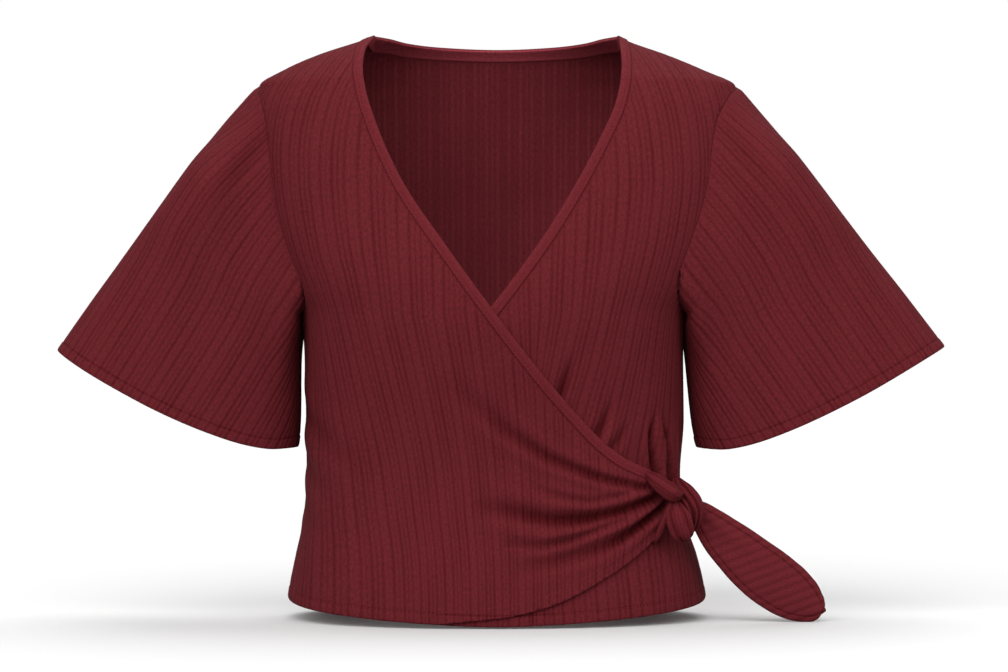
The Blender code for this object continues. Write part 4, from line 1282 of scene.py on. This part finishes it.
def new_look(name, light, painted_shade_strength, bump=0.5, scale=6.0):
    """The knit: a base colour with painted shade where the groove attribute is above 0 and painted light
    where it is below 0, mottled and grained by noise.
    """
    material = bpy.data.materials.new(name)
    material.use_nodes = True
    tree = material.node_tree
    base = add_node(tree, "RGB")
    base.outputs[0].default_value = tuple(light * part for part in BASE) + (1.0,)
    attribute = add_node(tree, "Attribute")
    attribute.attribute_name = "groove"
    # Painted shade: the groove attribute darkens the colour above 0, and paints light below 0.
    dark = [-painted_shade_strength * share for share in PAINTED_SHADE_TINT]
    shading = {0: attribute.outputs["Fac"], 1: dark, 2: (1.0, 1.0, 1.0)}
    darker = add_node(tree, "VectorMath", shading, "MULTIPLY_ADD")
    coordinates = add_node(tree, "UVMap")
    fleck = {"Scale": scale, "Detail": 4.0, "Roughness": 0.65, "Vector": coordinates.outputs["UV"]}
    noise = add_node(tree, "TexNoise", fleck)
    mottle = add_node(tree, "MapRange", {"Value": noise.outputs["Fac"]})
    mottle.inputs["From Min"].default_value, mottle.inputs["From Max"].default_value = MOTTLE_FROM
    mottle.inputs["To Min"].default_value, mottle.inputs["To Max"].default_value = MOTTLE_TO
    darkest = add_node(tree, "VectorMath", {0: darker.outputs[0], 1: DARKEST}, "MAXIMUM")
    shaded_base = add_node(tree, "VectorMath", {0: base.outputs[0], 1: darkest.outputs[0]}, "MULTIPLY")
    mottled = {0: shaded_base.outputs[0], "Scale": mottle.outputs["Result"]}
    tinted = add_node(tree, "VectorMath", mottled, "SCALE")
    grain = {"Strength": bump, "Distance": GRAIN_HEIGHT, "Height": noise.outputs["Fac"]}
    relief = add_node(tree, "Bump", grain)
    look = {"Roughness": 0.9, "Specular IOR Level": 0.12}
    look |= {"Base Color": tinted.outputs[0], "Normal": relief.outputs[0]}
    set_inputs(tree.nodes["Principled BSDF"], look)
    return material


KNIT = new_look("rib_knit", 1.0, 0.38)
BINDING = new_look("binding", 1.06, 0.4, scale=4.5)
TIE = new_look("tie", 1.0, 0.55)
THREAD_LOOK = new_look("thread", 1.38, 0.0, bump=0.0)

# The panels

PANEL_BANDS = ((-0.060, 0.0045), (-0.046, 0.0020), (-0.034, 0.0010), (-0.015, 0.0022), (0.0, 0.0014))
BACK_BANDS = ((-0.060, 0.0060), (-0.046, 0.0024), (-0.034, 0.0012), (-0.015, 0.0026), (0.0, 0.0016))
OVER_BANDS = ((-0.430, 0.0030), (-0.310, 0.0020)) + PANEL_BANDS
PANEL_TUCK = 0.003


def clear_of_neck(name, values, places):
    """Inside values that also keep a panel's edge just under the binding."""
    return np.minimum(values, near_line(places, neck_line(name, 0.0))[0] - BINDING_WIDTH + PANEL_TUCK)


def sewn_edge(face, side):
    """Up the side seam, round the armhole and along the shoulder seam to the neck point."""
    return joined(side_seam(face, side), armhole(face, side), shoulder_seam(face, side))


def build_back():
    right, left = sewn_edge(BACK, RIGHT_SIDE), sewn_edge(BACK, LEFT_SIDE)
    hem = below_hem(BACK, right[0, 0], left[0, 0])
    outline = np.concatenate([hem, left, neck_line("back", 0.0)[::-1], right[::-1]])
    seams = (right, left, neck_line("back", BINDING_WIDTH))
    ribs = (straight_flow, (-0.285, 0.285), BACK_BANDS)
    return panel("back_panel", "back", BACK, outline, seams, *ribs, (), no_lift, BACK_RIB_PITCH)


OVER_CREASES = (
    crease(
        (-0.2, -0.3, 0.0016, 0.01), (-0.165, -0.312, 0.0014, 0.009), (-0.125, -0.334, 0.0008, 0.012),
        (-0.09, -0.352, 0, 0.014),
    ),
    crease(
        (-0.202, -0.338, 0.0014, 0.008), (-0.17, -0.35, 0.0012, 0.009), (-0.13, -0.372, 0, 0.012),
    ),
    crease(
        (-0.203, -0.372, 0.001, 0.008), (-0.175, -0.381, 0.0009, 0.009), (-0.14, -0.398, 0, 0.012),
    ),
)
UNDER_CREASES = (
    crease(
        (0.133, -0.298, 0, 0.004), (0.132, -0.3067, 0.0014, 0.0032), (0.1285, -0.3161, 0.0034, 0.0028),
        (0.1275, -0.3262, 0.006, 0.0026), (0.1285, -0.3365, 0.0076, 0.0026),
        (0.131, -0.3459, 0.008, 0.0028), (0.1325, -0.358, 0.008, 0.003),
    ),
    crease(
        (0.141, -0.3, 0, 0.004), (0.143, -0.3109, 0.0024, 0.003), (0.1475, -0.3228, 0.0062, 0.0028),
        (0.1495, -0.3347, 0.008, 0.0028), (0.152, -0.3466, 0.008, 0.0028), (0.1535, -0.358, 0.0076, 0.0028),
    ),
    crease(
        (0.137, -0.3, 0, 0.006), (0.1385, -0.322, -0.003, 0.0046), (0.14, -0.354, -0.005, 0.0042),
    ),
    crease(
        (0.162, -0.3, 0, 0.008), (0.163, -0.325, -0.0024, 0.007), (0.162, -0.358, -0.004, 0.0062),
    ),
    crease(
        (0.0575, -0.254, 0, 0.005), (0.056, -0.261, 0.001, 0.0048), (0.0545, -0.2672, 0.002, 0.0046),
        (0.0515, -0.278, 0.0034, 0.0044), (0.048, -0.288, 0.004, 0.0044),
    ),
    crease(
        (0.089, -0.29, 0, 0.005), (0.088, -0.2968, 0.001, 0.0044), (0.086, -0.3022, 0.002, 0.0042),
        (0.083, -0.3099, 0.0032, 0.004), (0.0785, -0.3184, 0.0038, 0.004),
    ),
    crease(
        (0.105, -0.308, 0, 0.004), (0.102, -0.314, 0.0012, 0.0036), (0.0955, -0.3233, 0.0024, 0.0034),
        (0.0905, -0.3279, 0.0028, 0.0034),
    ),
)


def build_front_over():
    right = sewn_edge(FRONT, RIGHT_SIDE)
    low_edge = smooth_line(*OVER_LOW_EDGE.values())
    hem = below_hem(FRONT, right[0, 0], low_edge[0, 0])
    outline = np.concatenate([hem, low_edge, neck_line("over", 0.0)[::-1], right[::-1]])
    seams = (right, neck_line("over", BINDING_WIDTH))
    flow = rib_flow(OVER_DRIFT, OVER_DRIFT_SHARE, OVER_SWAY, OVER_SWAY_SHARE)
    ribs = (flow, (-0.275, 0.165), OVER_BANDS)
    return panel("front_over_panel", "over", FRONT, outline, seams, *ribs, OVER_CREASES, over_lift)


def build_front_under():
    left = sewn_edge(FRONT, LEFT_SIDE)
    hem = below_hem(FRONT, UNDER_START, left[0, 0])
    outline = np.concatenate([hem, left, neck_line("under", 0.0)])
    seams = (left, neck_line("under", BINDING_WIDTH))
    flow = rib_flow(UNDER_DRIFT, UNDER_DRIFT_SHARE, UNDER_SWAY, UNDER_SWAY_SHARE)
    ribs = (flow, (-0.135, 0.265), PANEL_BANDS)
    return panel("front_under_panel", "under", FRONT, outline, seams, *ribs, UNDER_CREASES, under_lift)


def sleeve_creases(side, creases):
    """A sleeve's creases: their tables give the way across it, which becomes the way round it."""
    return [rows | {"around": round_at(side, rows["around"], rows["height"])} for rows in creases]


RIGHT_SLEEVE_CREASES = (
    crease(
        (0.026, 0.012, 0, 0.009), (0.031, 0.04, 0.0024, 0.01), (0.04, 0.08, 0.0036, 0.012),
        (0.056, 0.125, 0.003, 0.014), (0.078, 0.17, 0.0018, 0.016), (0.1, 0.215, 0, 0.018),
    ),
    crease(
        (0.05, 0.06, 0, 0.008), (0.066, 0.1, 0.002, 0.01), (0.09, 0.15, 0.0016, 0.012),
        (0.112, 0.2, 0, 0.015),
    ),
)
LEFT_SLEEVE_CREASES = (
    crease(
        (0.028, 0.015, 0, 0.009), (0.036, 0.05, 0.0022, 0.011), (0.052, 0.1, 0.0028, 0.013),
        (0.076, 0.155, 0.0018, 0.015), (0.095, 0.205, 0, 0.018),
    ),
    crease(
        (0.058, 0.07, 0, 0.009), (0.074, 0.115, 0.0018, 0.011), (0.098, 0.165, 0.0012, 0.013),
        (0.115, 0.205, 0, 0.015),
    ),
)

pieces = {
    "back": build_back(),
    "front_over": build_front_over(),
    "front_under": build_front_under(),
    "sleeve_right": sleeve("right_sleeve", RIGHT_SIDE, sleeve_creases(RIGHT_SIDE, RIGHT_SLEEVE_CREASES)),
    "sleeve_left": sleeve("left_sleeve", LEFT_SIDE, sleeve_creases(LEFT_SIDE, LEFT_SLEEVE_CREASES)),
    "neck_binding_over": binding("over"),
    "neck_binding_back": binding("back"),
    "neck_binding_under": binding("under"),
    "knot_band": stretch(
        "band",
        (
            (0.1131, -0.0775, -0.3462, 0.0023, 0.003, 0), (0.1176, -0.082, -0.3491, 0.007, 0.006, 5),
            (0.122, -0.0865, -0.3528, 0.0109, 0.009, 10), (0.1273, -0.0895, -0.3573, 0.0132, 0.012, 15),
            (0.1327, -0.09, -0.3612, 0.014, 0.013, 15), (0.1375, -0.0875, -0.3636, 0.0116, 0.011, 10),
            (0.1418, -0.08, -0.364, 0.007, 0.008, 0),
        ),
        folds=1.4,
        fold_depth=0.0010,
        drift=0.5,
    ),
    "knot_loop": stretch(
        "loop",
        (
            (0.1389, -0.06, -0.3516, 0.0063, 0.007, 0), (0.1424, -0.068, -0.3583, 0.0117, 0.01, 0),
            (0.1468, -0.0735, -0.3643, 0.0156, 0.014, 0), (0.1514, -0.0755, -0.3712, 0.0164, 0.015, 0),
            (0.1538, -0.074, -0.3791, 0.014, 0.014, 0), (0.1525, -0.07, -0.3879, 0.0102, 0.011, 0),
            (0.1496, -0.066, -0.3952, 0.0063, 0.007, 0),
        ),
        folds=3.0,
        fold_depth=0.0014,
        drift=0.35,
        bend=0.8,
    ),
    "tie_end_short": stretch(
        "short_end",
        (
            (0.1371, -0.08, -0.3686, 0.0062, 0.007, 0), (0.1385, -0.084, -0.3754, 0.014, 0.011, 0),
            (0.1406, -0.0865, -0.3838, 0.0202, 0.013, 0), (0.143, -0.0855, -0.3924, 0.0194, 0.012, 0),
            (0.1457, -0.079, -0.4006, 0.0109, 0.007, 0),
        ),
        folds=1.7,
        fold_depth=0.0008,
        drift=0.4,
        bend=1.2,
    ),
    "tie_tail": tail(),
}
for node, piece in pieces.items():
    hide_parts(node)
low_strip = stretch(
    "low_strip",
    (
        (0.1361, -0.085, -0.3684, 0.0047, 0.005, 0), (0.133, -0.0845, -0.3762, 0.0062, 0.006, 0),
        (0.1285, -0.082, -0.3872, 0.0062, 0.006, 0), (0.124, -0.078, -0.3976, 0.0047, 0.005, 0),
        (0.121, -0.0755, -0.4032, 0.0031, 0.003, 0),
    ),
    folds=1.0,
    fold_depth=0.0004,
    drift=0.2,
)

# The stretches of the hem's stitching that show, from one way round to the other
HEM_STITCHES = (
    (BACK, no_lift, -0.212, 0.209),
    (FRONT, over_lift, -0.212, -0.050),
    (FRONT, no_lift, 0.045, 0.207),
)
LOW_STITCHES_END = 0.118
stitch_parts = []
for face, lift, low, high in HEM_STITCHES:
    around = np.linspace(low, high, FINE)
    line = np.column_stack([around, hem_height(face, around) + HEM_BAND])
    stitch_parts.append(body_stitches(face, lift, line))
low_edge = moved_aside(smooth_line(*OVER_LOW_EDGE.values()), HEM_BAND)
stitch_parts.append(body_stitches(FRONT, over_lift, low_edge[low_edge[:, 0] < LOW_STITCHES_END]))
hem_stitches = joined_stitches("hem_stitches", stitch_parts)
neck_stitches = joined_stitches("neck_stitches", [zigzag_stitches(name) for name in NECK_LIFTS])

# Sheets, camera and light

FLOOR_LEVEL = -0.4664
FLOOR_REACH = 14
FLOOR_BOUNCE = 0.35
FLOOR_SHOWN = 0.865
SKY_LIGHT = 0.45
SKY_SHOWN = 1.0
CAMERA_PLACE = (0.0048, -2.6, -0.241)
CAMERA_LENS = 115.64
CAMERA_SENSOR = 36.0


def seen_as(tree, lit, shown):
    """A value for light that falls on other things, and another for what the camera sees."""
    seen = add_node(tree, "LightPath")
    values = {"To Min": lit, "To Max": shown, "Value": seen.outputs["Is Camera Ray"]}
    return add_node(tree, "MapRange", values).outputs["Result"]


floor_mesh = bpy.data.meshes.new("floor")
corners = [(x * FLOOR_REACH, y * FLOOR_REACH, 0) for x, y in ((-1, -1), (1, -1), (1, 1), (-1, 1))]
floor_mesh.from_pydata(corners, [], [(0, 1, 2, 3)])
floor = bpy.data.objects.new("floor", floor_mesh)
floor.location.z = FLOOR_LEVEL
bpy.context.scene.collection.objects.link(floor)
white = bpy.data.materials.new("white_floor")
white.use_nodes = True
whiteness = seen_as(white.node_tree, FLOOR_BOUNCE, FLOOR_SHOWN)
look = {"Roughness": 0.9, "Specular IOR Level": 0.0, "Base Color": whiteness}
set_inputs(white.node_tree.nodes["Principled BSDF"], look)
floor_mesh.materials.append(white)

world = bpy.data.worlds.new("white_world")
world.use_nodes = True
sky = {"Color": (1.0, 1.0, 1.0, 1.0), "Strength": seen_as(world.node_tree, SKY_LIGHT, SKY_SHOWN)}
set_inputs(world.node_tree.nodes["Background"], sky)
bpy.context.scene.world = world
bpy.context.scene.view_settings.view_transform = "Standard"


def add_lamp(name, kind, power, turn):
    """A lamp turned by a quaternion."""
    data = bpy.data.lights.new(name, kind)
    data.energy = power
    lamp = bpy.data.objects.new(name, data)
    lamp.rotation_euler = turn.to_euler()
    bpy.context.scene.collection.objects.link(lamp)
    return lamp


def add_sun(name, towards, spread, power):
    lamp = add_lamp(name, "SUN", power, mathutils.Vector(towards).to_track_quat("Z", "Y"))
    lamp.data.angle = math.radians(spread)


def add_disk(name, place, target, size, power):
    way = mathutils.Vector(np.array(target) - np.array(place))
    lamp = add_lamp(name, "AREA", power, way.to_track_quat("-Z", "Y"))
    lamp.data.shape = "DISK"
    lamp.data.size = size
    lamp.location = place


add_sun("key", (-0.35, -1.0, 0.80), 60, 2.0)
add_sun("top", (0.10, 0.45, 1.0), 50, 1.2)
add_disk("fill", (1.6, -1.8, 0.6), (0.0, 0.0, -0.2), 1.6, 10)

camera_data = bpy.data.cameras.new("camera")
camera_data.lens = CAMERA_LENS
camera_data.sensor_width = CAMERA_SENSOR
camera = bpy.data.objects.new("camera", camera_data)
camera.location = CAMERA_PLACE
camera.rotation_euler = (math.pi / 2, 0.0, 0.0)
bpy.context.scene.collection.objects.link(camera)
bpy.context.scene.camera = camera
